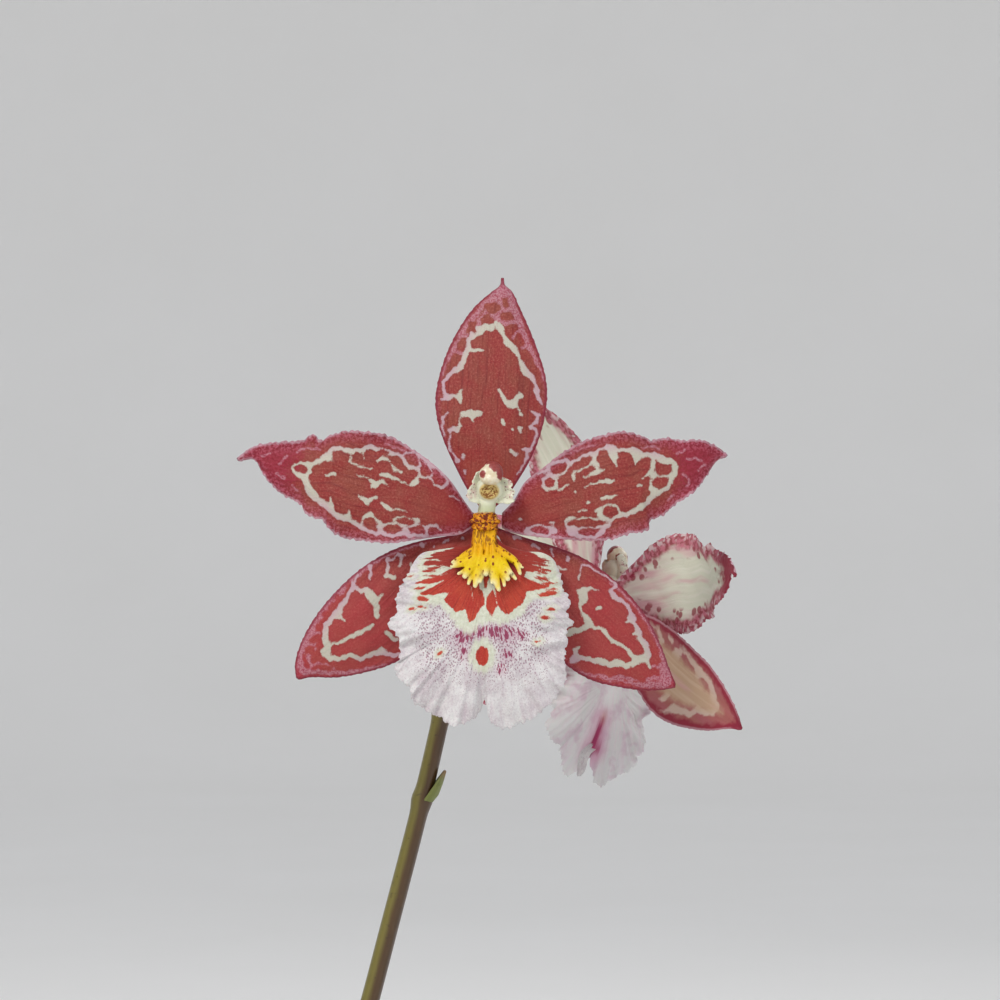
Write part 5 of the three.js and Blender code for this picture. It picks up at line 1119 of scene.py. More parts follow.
            (21.8, -31.1, 0.4, 0.2, -10), (25.1, -32, 0.5, 0.2, -10), (27.3, -31.6, 0.4, 0.18, -10),
            (29.3, -32.2, 0.4, 0.18, -20), (30.3, -18.9, 0.2, 0.5, 30), (32.4, -22.4, 0.2, 0.6, 25),
        ],
        "crimson": (0.82, 1.0),
    },
}
SECOND_BLOOM_TEPALS = {
    "dorsal_sepal": (-12, {"tip_back": 13}),
    "left_petal": (7, {"tip_back": 8}),
    "right_petal": (4, {"tip_back": 6}),
    "left_sepal": (-7, {"tip_back": -5}),
    "right_sepal": (16, {"tip_back": 3}),
}


def ripple(run, *beats):
    """A wave that doesn't repeat soon, between about -1 and 1."""
    return sum(np.sin(run * beat + 1.7 * k * k) for k, beat in enumerate(beats)) / len(beats) * 1.3


def reach_of(spots, lines, blend=0.3):
    """How far each spot is from the edge of the nearest line, in mm, less than nothing inside it."""
    total = np.zeros(len(spots))
    for line in lines:
        line = np.array([*line, line[-1]], float)
        near = np.full(len(spots), 1e3)
        for start, end in zip(line[:-1], line[1:]):
            run = end - start
            share = np.clip((spots - start[:2]) @ run[:2] / max(run[:2] @ run[:2], 1e-6), 0, 1)
            off = spots - start[:2] - share[:, None] * run[:2]
            near = np.minimum(near, np.hypot(*off.T) - (start[2] + run[2] * share) / 2)
        total += np.exp(-np.clip(near, -3, 12) / blend)
    return -blend * np.log(np.maximum(total, 1e-30))


def oval_of(spots, x, z, wide, high, tilt):
    """The same for an ellipse."""
    turn = math.radians(tilt)
    dx, dz = spots[:, 0] - x, spots[:, 1] - z
    a = (dx * math.cos(turn) + dz * math.sin(turn)) / wide
    b = (dz * math.cos(turn) - dx * math.sin(turn)) / high
    return (np.hypot(a, b) - 1) * min(wide, high)


def tepal_flat(tepal, u, across):
    """Where a point of the blade is seen from the front, before it is bent."""
    u = np.clip(u, 0, 1)
    table = np.linspace(0, 1, 600)
    first, second = (points_at(u, table, along(edge, table)) for edge in tepal["edges"])
    return first + (second - first) * ((across + 1) / 2)[:, None]


def tepal_sheet(tepal, depth, turn, petal):
    """The middle surface of a sepal or petal as it is bent, ruffled and turned on one bloom."""
    angle = math.radians(turn)
    spin = np.array([[math.cos(angle), math.sin(angle)], [-math.sin(angle), math.cos(angle)]])
    lively = 1.0 if petal else 0.35

    def sheet(u, across):
        flat = tepal_flat(tepal, u, across)
        share = np.clip(u, 0, 1)
        belly = np.sin(math.pi * share)
        margin = across * across
        outer = smooth((share - 0.12) / 0.3)
        beat = np.sin(2 * math.pi * depth["waves"] * share + across * 1.3)
        wave = depth["wave"] * margin * np.abs(across) * beat
        y = depth["base"] - depth["bow"] * belly + depth["tip_back"] * share**2.5
        y = y + (depth["edge_back"] * margin + wave) * np.sqrt(np.maximum(belly, 0))
        run = share * TEPAL_EDGE_LENGTH + 7 * np.sign(across)
        crimp = np.abs(across) ** 9 * outer * lively
        y = y + 0.42 * crimp * ripple(run, 2.3, 3.7, 5.1)
        y = y + 0.16 * np.cos(across * 9) * belly
        y = y - 0.3 * np.exp(-((across / 0.09) ** 2)) * (1 - share) * belly
        y = y + 0.14 * ripple(share * 20 + across * 3, 1.0, 1.7, 2.9) * belly
        frill = np.abs(across) ** 14 * outer * lively * np.sign(across)
        widen = (0.22 * ripple(run, 2.6, 4.1, 6.1) - 0.1) * frill
        other = tepal_flat(tepal, share, np.ones_like(share)) - tepal_flat(tepal, share, -np.ones_like(share))
        flat = flat + other / np.maximum(np.linalg.norm(other, axis=1), 1e-6)[:, None] * widen[:, None]
        flat = (flat - HEART) @ spin + HEART
        return np.stack([flat[:, 0], y, flat[:, 1]], 1)

    return sheet


def settle(piece, place):
    """Sets a finished bloom piece at its place on the plant."""
    at, turn, scale = place
    turned = Matrix.Translation(Vector(at * MM)) @ Matrix.Rotation(turn, 4, "Z")
    piece.data.transform(turned @ Matrix.Scale(scale, 4))


def tepal_reds(finish, home, grain, petal):
    """The fleshy red of a face: grained, speckled, redder at the heart and crimson at the tip."""
    broad = finish.noise(home, 0.2, 3.0)
    fine = finish.noise(home, 1.6, 3.0, 0.6)
    speck = finish.noise(home, 2.3, 4.0, 0.85)
    fibre = finish.noise(finish.stretch(grain, (1.7, 0.06, 1.0)), 1.0, 3.0)
    red = finish.mix(finish.step(broad, 0.34, 0.66), tone(140, 44, 42), tone(136, 62, 50))
    red = finish.wash(red, finish.step(speck, 0.5, 0.66), 0.7, tone(170, 104, 90))
    red = finish.wash(red, finish.step(speck, 0.48, 0.36), 0.6, tone(108, 26, 30))
    red = finish.wash(red, finish.step(fibre, 0.5, 0.7), 0.55, tone(108, 28, 30))
    heart = finish.step(finish.read("along"), 0.32, 0.02)
    red = finish.mix(finish.times(heart, 0.6), red, tone(150, 40, 42) if petal else tone(176, 70, 60))
    far = finish.plus(finish.read("crimson"), finish.swing(fine, 0.9))
    crimson = finish.mix(finish.step(fine, 0.36, 0.62), tone(130, 24, 40), tone(142, 36, 54))
    crimson = finish.wash(crimson, finish.step(speck, 0.5, 0.68), 0.35, tone(172, 74, 92))
    red = finish.mix(finish.step(far, 0.2, 0.8), red, crimson)
    bumps = finish.plus(finish.times(fine, 0.6), finish.times(fibre, 0.9))
    finish.relief(finish.plus(bumps, finish.times(speck, 0.5)), 0.32, 0.7)
    return red, fine, speck


def tepal_face(name, petal):
    finish = Finish(name, 0.5, Subsurface_Weight=0.1, Specular_IOR_Level=0.28,
                    Subsurface_Radius=(0.001, 0.0004, 0.0004))
    home, grain = finish.read("home", "Vector"), finish.read("grain", "Vector")
    red, fine, speck = tepal_reds(finish, home, grain, petal)
    if not petal:
        # Painted light: below the heart the sepals' red is lifted to a lighter pink, to make up for the lamps
        # lighting them less.
        low = finish.step(finish.height(home), -6.0, -16.0)
        red = finish.wash(red, low, 0.45, tone(172, 56, 62))
    rim = finish.read("rim")
    lumps = finish.swing(finish.noise(home, 0.95, 2.0), 0.5)
    grit = finish.swing(finish.noise(home, 3.2, 2.0, 0.7), 0.6)
    net = finish.plus(finish.plus(finish.read("pale"), 0.08), finish.plus(lumps, grit))
    cream = finish.mix(finish.step(rim, 5.0, 1.4), tone(184, 180, 166), tone(182, 152, 162))
    cream = finish.wash(cream, finish.step(speck, 0.5, 0.64), 0.45, tone(172, 146, 138))
    # Round each pale line the red is a little darker, then fades into it over a fifth of a millimetre.
    red = finish.wash(red, finish.step(net, 0.7, 0.15), 0.25, tone(122, 34, 36))
    mottle = finish.plus(finish.times(fine, 1.0), finish.times(speck, 0.9))
    zone = finish.step(rim, 3.2 if petal else 1.6, 0.5)
    outer = finish.mix(finish.step(mottle, 0.9, 1.04), tone(124, 26, 44), tone(170, 88, 106))
    red = finish.mix(finish.times(zone, 0.7 if petal else 0.35), red, outer)
    mauve = finish.plus(finish.read("mauve"), finish.plus(lumps, grit))
    lilac = finish.mix(finish.step(speck, 0.45, 0.57), tone(192, 142, 154), tone(148, 60, 82))
    red = finish.wash(red, finish.step(mauve, 0.16, -0.16), 0.7, lilac)
    ragged = finish.plus(rim, finish.swing(finish.noise(home, 1.3, 2.0), 1.3 if petal else 0.5))
    if petal:
        red = finish.wash(red, finish.step(ragged, 0.7, 0.25), 0.6, tone(190, 156, 168))
    else:
        red = finish.wash(red, finish.step(ragged, 0.6, 0.35), 0.8, tone(126, 34, 54))
    finish.colour(finish.mix(finish.step(net, 0.16, -0.14), red, cream))
    return finish.material


def tepal_back(name, petal):
    finish = Finish(name, 0.58, Subsurface_Weight=0.1, Specular_IOR_Level=0.3,
                    Subsurface_Radius=(0.001, 0.0006, 0.0005))
    home, grain = finish.read("home", "Vector"), finish.read("grain", "Vector")
    rim = finish.read("rim")
    fine = finish.noise(home, 0.9, 3.0)
    fibre = finish.noise(finish.stretch(grain, (1.1, 0.05, 1.0)), 1.0, 3.0)
    flush = finish.noise(finish.stretch(grain, (0.3, 0.06, 1.0)), 1.0, 2.0)
    body = tone(206, 208, 190) if petal else tone(182, 152, 126)
    light = tone(222, 218, 208) if petal else tone(200, 174, 152)
    cream = finish.wash(body, finish.step(fibre, 0.42, 0.7), 0.5, light)
    cream = finish.wash(cream, finish.step(flush, 0.48, 0.66), 0.6, tone(200, 146, 158))
    foot = finish.times(finish.step(finish.read("along"), 0.5, 0.15), finish.step(flush, 0.3, 0.6))
    cream = finish.wash(cream, foot, 0.6, tone(198, 138, 152))
    lumps = finish.swing(finish.noise(home, 0.8, 2.0), 1.0)
    ragged = finish.plus(rim, finish.swing(finish.noise(home, 0.5, 2.0), 2.6))
    red = finish.mix(finish.step(fine, 0.42, 0.58), tone(138, 32, 54), tone(182, 96, 116))
    if petal:
        spots = finish.step(finish.cells(home, 0.4), 0.38, 0.26)
        belt = finish.times(finish.step(rim, 1.6, 2.2), finish.step(rim, 5.6, 4.4))
        cream = finish.mix(finish.times(spots, finish.times(belt, 0.85)), cream, tone(142, 48, 62))
        cream = finish.wash(cream, finish.step(ragged, 3.8, 2.2), 0.92, red)
        crimps = finish.step(finish.noise(home, 0.7, 1.0), 0.48, 0.58)
        crimps = finish.times(finish.step(rim, 2.2, 0.6), crimps)
        cream = finish.wash(cream, crimps, 0.85, tone(208, 188, 190))
    else:
        net = finish.plus(finish.read("pale"), lumps)
        pattern = finish.mix(finish.step(net, 0.5, -0.1), tone(150, 62, 72), tone(194, 170, 158))
        cream = finish.wash(cream, finish.step(ragged, 6.0, 3.4), 0.8, pattern)
        cream = finish.mix(finish.step(ragged, 2.4, 1.0), cream, tone(138, 38, 56))
        cream = finish.wash(cream, finish.step(rim, 0.7, 0.3), 0.7, tone(184, 140, 150))
    far = finish.plus(finish.read("crimson"), finish.swing(fine, 0.6))
    finish.colour(finish.mix(finish.step(far, 0.5, 0.95), cream, tone(130, 30, 52)))
    finish.relief(finish.plus(fine, fibre), 0.25, 0.45)
    return finish.material


PETAL_FINISHES = (tepal_face("petal_face", True), tepal_back("petal_back", True))
SEPAL_FINISHES = (tepal_face("sepal_face", False), tepal_back("sepal_back", False))
TEPAL_FINISHES = {part: PETAL_FINISHES if part.endswith("petal") else SEPAL_FINISHES for part in TEPALS}
TEPAL_FINISHES["dorsal_sepal"] = (SEPAL_FINISHES[0], PETAL_FINISHES[1])


def tepal_body(u, across):
    """Thickest in the middle near the foot."""
    return PETAL_THICKNESS * (0.55 + 0.45 * (1 - across**2) * (1.15 - np.clip(u, 0, 1)))


def cells_of(spots, cells, more=0.0):
    """The same for the nearest of some red cells, each with a collar of the given width round it."""
    collared = [(x, z, wide + more, high + more, tilt) for x, z, wide, high, tilt in cells]
    return np.min([oval_of(spots, *cell) for cell in collared], axis=0)


for bloom, place in BLOOMS.items():
    rows, columns = (200, 184) if bloom == "first_bloom" else (120, 108)
    for part, tepal in TEPALS.items():
        petal = part.endswith("petal")
        turn, change = SECOND_BLOOM_TEPALS[part] if bloom == "second_bloom" else (0, {})
        sheet = tepal_sheet(tepal, {**tepal["depth"], **change}, turn, petal)
        piece, u, across = blade(f"{bloom}_{part}_grown", rows, columns, sheet, tepal_body, -1)
        flat = tepal_flat(tepal, u, across)
        wide = np.linalg.norm(tepal_flat(tepal, u, u * 0 + 1) - tepal_flat(tepal, u, u * 0 - 1), axis=1)
        rim = np.minimum((1 - np.abs(across)) * wide / 2 * 0.94, (1 - u) * 50)
        sway = (ripple(flat[:, 1] * 1.6 + flat[:, 0], 1.3, 2.1), ripple(flat[:, 0] * 1.7, 1.1, 2.3))
        warped = flat + 0.14 * np.stack(sway, 1)
        inside = -cells_of(warped, tepal["cells"])
        low, high = tepal["crimson"]
        mark(
            piece, home=np.stack([flat[:, 0], u * 0, flat[:, 1]], 1), rim=rim, along=u, across=across,
            grain=np.stack([across * wide / 2, u * 50, u * 0], 1),
            pale=np.clip(np.maximum(reach_of(warped, tepal["pale"]), inside), -2, 6),
            mauve=np.clip(np.maximum(reach_of(warped, tepal["mauve"]), inside), -2, 6),
            crimson=np.clip((u - low) / (high - low), 0, 1),
        )
        weld(piece)
        for material in TEPAL_FINISHES[part]:
            piece.data.materials.append(material)
        settle(piece, place)
        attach(piece, "root")
        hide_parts(f"{bloom}_{part}")

# The lip: one broad blade hung from the heart like an apron, with a notch at its foot and a toothed margin.
# Red rays and blotches fan out under the crest over a pale band, and magenta dashes thin out below them over
# lilac white. The second bloom's lip is notched deeper, with a small tongue in the notch.
LIP_MIDDLE = np.array([-1.5, -18.0])
LIP_TOP = -2.4
LIP_LENGTH = 38
LIP_HALF_WIDTH = 17
LIP_EDGE_LENGTH = 138
LIP_OUTLINE = [
    (-3.3, -2.6), (-4.2, -4.4), (-7, -5), (-11, -5.6), (-13.7, -6.3), (-15.4, -8.3), (-16.5, -10.8),
    (-18.1, -13.2), (-18.6, -15.5), (-18.5, -17.7), (-20.2, -20), (-18.5, -22.5), (-17.8, -25),
    (-18, -27.2), (-18.9, -28.9), (-17.8, -31.2), (-15.8, -33.2), (-15, -35.7), (-12.8, -37.3),
    (-10, -38.7), (-8, -40.2), (-5.5, -40), (-3, -38.8), (-1.7, -37), (-1.1, -35.4), (-0.6, -36.8),
    (0, -39.3), (1.6, -40.7), (3.8, -40.8), (6.2, -40), (8.8, -38.6), (11.4, -36.6), (13.5, -34.2),
    (14.9, -31.8), (15, -28.6), (14.8, -25.8), (15.5, -23.2), (15.2, -21.5), (16.5, -20), (15.4, -18.3),
    (15.8, -15.8), (14.7, -13.2), (14.1, -11.2), (13.6, -9.3), (12.5, -7.3), (10.4, -6.1), (7, -5.8),
    (4.2, -5), (2.5, -4.2), (1.4, -2.6), (-1, -2.4), (-3.3, -2.6),
]
LIPS = {
    "first_bloom": {"lean": 0.0, "tip_back": 2.6, "notch": 0.0, "turn": 0.0},
    "second_bloom": {"lean": 2.5, "tip_back": 6.0, "notch": 3.2, "turn": math.radians(-7.5),
                     "trim": [(-15.5, -25, 4.5, 3.2), (9.5, -37, 6, 2.6), (-8.5, -40, 5, -0.5)]},
}
LIP_FOLDS = [
    (-16.5, -20.5, -35, 4.5, 1.6, 1.2), (-15.5, -24.8, -15, 4, 1.6, -0.9), (-14, -29, 20, 4, 1.5, 0.8),
    (12.6, -21.6, 8, 4, 0.9, -0.8), (12.8, -23.6, 12, 4, 0.8, 0.9), (12, -26, 15, 4, 1.0, -0.6),
    (12.5, -16.5, -5, 3.5, 0.8, -0.6), (11.6, -31.5, -30, 4.5, 1.3, 0.8), (8, -36, -60, 4, 1.4, -0.6),
    (-9, -35.5, 60, 4, 1.4, -0.6), (-13, -13, 25, 3.5, 1.0, 0.5), (4.5, -37, -75, 4, 1.2, 0.6),
]
LIP_RED = [
    [(-2.9, -2.7), (-4, -3.4), (-7.4, -5.4), (-11.6, -6.5), (-10.8, -7), (-8.8, -7.9), (-12.7, -7.8),
     (-12.9, -8.4), (-9, -8.5), (-6.8, -9), (-10.8, -10.9), (-14.7, -12.1), (-11, -11.9), (-7.9, -10.9),
     (-10.2, -12.5), (-12.7, -13.7), (-13.6, -14.2), (-11.3, -14.3), (-9.6, -13.9), (-7.5, -13.6),
     (-8.9, -15.3), (-8.2, -16.2), (-6.55, -17.6), (-6, -17.35), (-4.7, -17), (-4.4, -18.1), (-4, -19.6),
     (-3.4, -19.3), (-2.6, -17.9), (-2, -16.8), (-1.3, -16.4), (-1.2, -15.3), (-1.5, -14.1), (-2.3, -12.8),
     (-2.5, -10)],
    [(0.4, -2.7), (0.3, -10), (1.3, -12.6), (1.4, -14.2), (1.6, -16.2), (2.4, -17.4), (3.5, -18.2),
     (4.3, -17.4), (5.25, -16.7), (6.4, -15.9), (6.8, -15), (7.1, -13.6), (8.9, -13.3), (11.6, -12.8),
     (9.7, -12.3), (7.5, -11.5), (6.6, -10.9), (7, -9.6), (12, -9.7), (9.5, -8.9), (7.2, -8.4), (9.5, -8.2),
     (11, -8), (8.9, -6.5), (5, -5.1), (2.4, -4.3), (1, -3)],
    [(0.5, -13.6), (1, -15), (1.1, -16.6), (0.3, -18.4), (-0.5, -17), (-0.6, -15.6), (0, -14.2)],
    [(-2.4, -2.7), (-2.2, -10.5), (-1.2, -11.2), (-0.9, -13), (-0.5, -11.2), (0.2, -10.5), (0.2, -2.7)],
]
LIP_SPOTS = [
    (-10.2, -6.9, 2.4, 0.32, 9), (-10.6, -8.15, 2.3, 0.26, 5), (-11.2, -9.1, 1.5, 0.22, 2),
    (-11.3, -10.7, 1.6, 0.22, -2), (-12.4, -11.6, 1.4, 0.24, -6), (9.6, -7.3, 2.0, 0.3, -12),
    (10.4, -8.5, 1.8, 0.26, -9), (10.8, -10.1, 1.5, 0.24, -6), (11.4, -12.2, 1.6, 0.26, 3),
    (12.6, -13.3, 1.0, 0.2, 6), (-13.8, -13.1, 1.0, 0.18, 8), (-13.4, -15.2, 1.1, 0.45, -8),
    (-15.4, -17.2, 0.7, 0.3, 10), (-13.6, -16.8, 0.8, 0.2, -10), (-12.2, -9.7, 1.2, 0.3, 2),
    (11.6, -14.2, 1.8, 0.45, 8), (12.1, -17.3, 0.8, 0.35, 5), (10.9, -18.9, 0.9, 0.4, -8),
    (9.5, -23.6, 0.6, 0.2, 10), (-9.9, -25.9, 0.6, 0.25, 30), (10.3, -11.2, 1.5, 0.35, -14),
    (-15.8, -10.8, 0.6, 0.2, 15), (-1.5, -26.4, 1.3, 1.9, 0),
]
LIP_SPOT_TRIM = 0.17
LIP_SPOT_COLLAR = 0.45
LIP_EYE_COLLAR = (-1.5, -26.4, 2.5, 3.3, 0)
LIP_FAN_CENTRE = (-1.0, -6.0)
LIP_FAN_RADIUS = 15
LIP_KEEL = [(-1.2, -27, 0.1), (-1.1, -30.5, 1.0), (-1.1, -33.5, 2.6)]
LIP_PALE = [
    [(-3.75, -12.8, 0.45), (-3.3, -15.7, 0.45)],
    [(-12.4, -9, 0.3), (-10.3, -9.2, 0.3), (-9.4, -9.8, 0.3), (-10.4, -10.2, 0.3), (-12.6, -10.4, 0.3)],
    [(7.8, -10.6, 0.3), (9.5, -10.4, 0.3), (11, -11, 0.3)], [(-9.5, -6.6, 0.25), (-6.5, -6.2, 0.25)],
    [(6, -6.2, 0.2), (9, -7.2, 0.2)], [(-10, -13, 0.2), (-7, -12, 0.2)],
    [(-4.8, -7.3, 0.2), (-8, -8.5, 0.3), (-12, -8.7, 0.4)],
    [(-5.4, -9.3, 0.2), (-8, -10.1, 0.3), (-12, -11.1, 0.4)],
    [(4.8, -6.7, 0.2), (8, -7.7, 0.3), (11.6, -8.1, 0.4)],
    [(5.2, -9, 0.2), (8, -9.3, 0.3), (12, -9.3, 0.4)],
]
LIP_BAND = [
    (-14.4, -13.1), (-15, -15.3), (-12.7, -16.4), (-9.8, -16.2), (-8.8, -17.6), (-7.3, -19), (-6.6, -20.6),
    (-5.1, -21.6), (-3.9, -22.3), (-2.9, -21.2), (-2.3, -20.2), (-1.2, -20), (0.5, -19.6), (2.7, -20.2),
    (4.1, -19.7), (5, -18.9), (6.4, -18.2), (7.3, -16.7), (8.3, -15.3), (9.8, -15.2), (13.8, -14.6),
    (14, -12), (13.2, -9), (12, -6.2), (4, -3), (-4, -3), (-12.4, -5.8), (-14.2, -8),
]
LIP_DASHES = [
    (-5.4, -22.6, 1.9, 1.6), (-2.4, -21.6, 1.8, 1.3), (0.8, -21.4, 2.2, 1.4), (3.2, -22.2, 2.0, 1.8),
    (3.4, -26.2, 1.4, 1.4), (-5.2, -25.8, 1.2, 1.7), (6.2, -22.2, 1.4, 1.2), (2.2, -29.2, 1.0, 1.2),
]


def patch_of(spots, outline):
    """How far each spot is from a closed outline, in mm, less than nothing inside it."""
    near = reach_of(spots, [[(x, z, 0.0) for x, z in (*outline, outline[0])]])
    corners = np.array(outline, float)
    inside = np.zeros(len(spots), bool)
    for (x1, z1), (x2, z2) in zip(corners, np.roll(corners, -1, axis=0)):
        between = (spots[:, 1] < z1) != (spots[:, 1] < z2)
        rise = np.where(z2 == z1, 1.0, z2 - z1)
        inside ^= between & (spots[:, 0] < x1 + (spots[:, 1] - z1) / rise * (x2 - x1))
    return np.where(inside, -np.abs(near), np.abs(near))


def lip_depth(lip, x, z, reach, angle):
    """How far back the lip stands from the front of the heart, in mm, at a place seen from the front."""
    down = np.clip((LIP_TOP - z) / LIP_LENGTH, 0, 1)
    side = (x + 1.3) / LIP_HALF_WIDTH
    forward = -3.2 - 5.4 * np.sin(math.pi * np.minimum(1, down * 1.05) * 0.62) + lip["lean"] * down
    forward = forward + lip["tip_back"] * down**3 + 2.9 * side**2 * (1 - 0.45 * down)
    return forward + 0.75 * reach**4 * np.sin(11 * angle + 0.6)


def lip_sheet(lip, share, reach):
    """The middle of the blade, by the share round its outline and the reach out to it from its middle."""
    table = np.linspace(0, 1, 900)
    rim = along(LIP_OUTLINE, table)
    rim[:, 1] += lip["notch"] * np.exp(-(((rim[:, 0] + 1.1) / 2.4) ** 2)) * (rim[:, 1] < -33)
    for x, z, spread, inward in lip.get("trim", ()):
        pull = inward * np.exp(-(np.hypot(rim[:, 0] - x, rim[:, 1] - z) / spread) ** 2)
        rim += (LIP_MIDDLE - rim) * (pull / np.linalg.norm(LIP_MIDDLE - rim, axis=1))[:, None]
    edge = points_at(share, table, rim)
    out = edge - LIP_MIDDLE
    low = smooth((-edge[:, 1] - 7) / 5)
    run = share * LIP_EDGE_LENGTH
    saw = (run * 0.9 + 0.5 * np.sin(run * 0.9)) % 1 + 0.6 * ((run * 1.7 + 0.6 * np.sin(run * 1.3)) % 1)
    tooth = (0.3 * saw - 0.2 + 0.32 * ripple(run, 1.1, 2.7, 4.3)) * low * smooth((reach - 0.9) / 0.1)
    flat = LIP_MIDDLE + out * (reach + tooth / np.linalg.norm(out, axis=1))[:, None]
    x, z = flat.T
    angle = 2 * math.pi * share
    y = lip_depth(lip, x, z, reach, angle)
    for fx, fz, heading, length, width, height in LIP_FOLDS:
        turn = math.radians(heading)
        dx, dz = x - fx, z - fz
        a = (dx * math.cos(turn) + dz * math.sin(turn)) / length
        b = (dz * math.cos(turn) - dx * math.sin(turn)) / width
        y = y - height * np.exp(-(a * a) - b * b)
    pleats = 0.16 * np.sin(41 * angle + 2 * np.sin(3 * angle)) + 0.12 * np.sin(67 * angle + 1)
    y = y + pleats * reach**2 * low + 0.42 * reach**7 * ripple(run, 1.3, 2.1, 3.1) * low
    groove = 0.9 * np.exp(-(((x + 1.2) / 1.1) ** 2)) * smooth((-z - 27) / 9)
    y = y + groove - 0.5 * np.exp(-(((x - 1.4) / 2.2) ** 2 + ((z + 21) / 3.2) ** 2))
    y = y - 0.5 * np.exp(-(((x + 4.4) / 2.2) ** 2 + ((z + 21.4) / 3.2) ** 2))
    return np.stack([x, y, z], 1)


def lip_face():
    finish = Finish("lip_face", 0.55, Subsurface_Weight=0.12, Specular_IOR_Level=0.3,
                    Subsurface_Radius=(0.0014, 0.0008, 0.0009))
    home, fan = finish.read("home", "Vector"), finish.read("fan", "Vector")
    streak = finish.noise(finish.stretch(fan, (2.4, 0.1, 1.0)), 1.0, 3.0)
    broad = finish.noise(home, 0.24, 3.0)
    fine = finish.noise(home, 1.5, 3.0, 0.7)
    grit = finish.noise(home, 2.6, 4.0, 0.85)
    lilac = finish.mix(finish.step(broad, 0.36, 0.64), tone(196, 187, 191), tone(216, 213, 213))
    lilac = finish.wash(lilac, finish.step(streak, 0.48, 0.7), 0.4, tone(182, 162, 174))
    lilac = finish.wash(lilac, finish.step(grit, 0.5, 0.66), 0.55, tone(227, 227, 224))
    lilac = finish.wash(lilac, finish.step(grit, 0.48, 0.36), 0.5, tone(166, 148, 158))
    dust = finish.read("dust")
    dots = finish.cells(finish.stretch(home, (2.9, 0.3, 2.1)), 1.0)
    crowded = finish.times(dust, finish.plus(0.24, finish.times(finish.noise(home, 0.4, 3.0), 0.36)))
    dotted = finish.step(finish.maths("SUBTRACT", crowded, dots), -0.05, 0.07)
    lilac = finish.wash(lilac, dotted, 0.7, tone(128, 74, 96))
    crowd = finish.read("dashes")
    strokes = finish.cells(finish.stretch(fan, (3.0, 0.75, 1.0)), 1.0)
    dashed = finish.step(finish.maths("SUBTRACT", finish.times(crowd, 0.54), strokes), -0.08, 0.05)
    lilac = finish.wash(lilac, crowd, 0.4, tone(184, 128, 152))
    lilac = finish.wash(lilac, dashed, 0.92, tone(138, 34, 76))
    wobble = finish.swing(finish.noise(home, 1.2, 3.0), 1.1)
    jag = finish.swing(streak, 2.2)
    band = finish.plus(finish.plus(finish.read("band"), wobble), jag)
    green = finish.mix(finish.step(fine, 0.35, 0.7), tone(198, 201, 180), tone(213, 215, 200))
    green = finish.wash(green, finish.step(grit, 0.5, 0.66), 0.4, tone(184, 170, 166))
    face = finish.mix(finish.step(band, 0.7, -0.5), lilac, green)
    frill = finish.step(finish.plus(finish.read("rim"), wobble), 0.9, 0.1)
    face = finish.wash(face, frill, 0.5, tone(218, 212, 216))
    vermilion = finish.mix(finish.step(broad, 0.3, 0.7), tone(172, 46, 36), tone(184, 66, 44))
    vermilion = finish.wash(vermilion, finish.step(streak, 0.48, 0.7), 0.6, tone(120, 30, 26))
    vermilion = finish.wash(vermilion, finish.step(grit, 0.5, 0.66), 0.35, tone(206, 112, 84))
    vermilion = finish.mix(finish.read("shade"), vermilion, tone(140, 44, 38))
    red = finish.plus(finish.read("red"), finish.plus(finish.times(wobble, 0.28), finish.swing(fine, 0.35)))
    red = finish.plus(red, finish.swing(streak, 0.6))
    finish.colour(finish.mix(finish.step(red, 0.3, 0.08), face, vermilion))
    bumps = finish.plus(finish.times(streak, 1.4), finish.times(fine, 0.7))
    finish.relief(finish.plus(bumps, finish.times(grit, 0.5)), 0.35, 0.75)
    return finish.material


def lip_back():
    finish = Finish("lip_back", 0.6, Subsurface_Weight=0.12, Subsurface_Radius=(0.0014, 0.0008, 0.0009))
    home, fan = finish.read("home", "Vector"), finish.read("fan", "Vector")
    streak = finish.noise(finish.stretch(fan, (1.6, 0.08, 1.0)), 1.0, 3.0)
    white = finish.mix(finish.step(streak, 0.4, 0.7), tone(222, 222, 222), tone(226, 216, 222))
    broad = finish.step(finish.noise(home, 0.22, 3.0), 0.46, 0.66)
    white = finish.wash(white, broad, 0.5, tone(200, 164, 186))
    keel = finish.plus(finish.read("keel"), finish.swing(streak, 3.0))
    white = finish.wash(white, finish.step(keel, 4.5, 0.5), 0.6, tone(204, 140, 172))
    white = finish.mix(finish.step(keel, 1.1, -0.2), white, tone(164, 44, 96))
    finish.colour(finish.wash(white, finish.step(finish.read("red"), 0.6, -1.2), 0.5, tone(196, 150, 140)))
    finish.relief(streak, 0.35, 0.5)
    return finish.material


def places_of(piece):
    """Where each point of a mesh is, in mm."""
    points = np.empty(len(piece.data.vertices) * 3)
    piece.data.vertices.foreach_get("co", points)
    return points.reshape(-1, 3) / MM


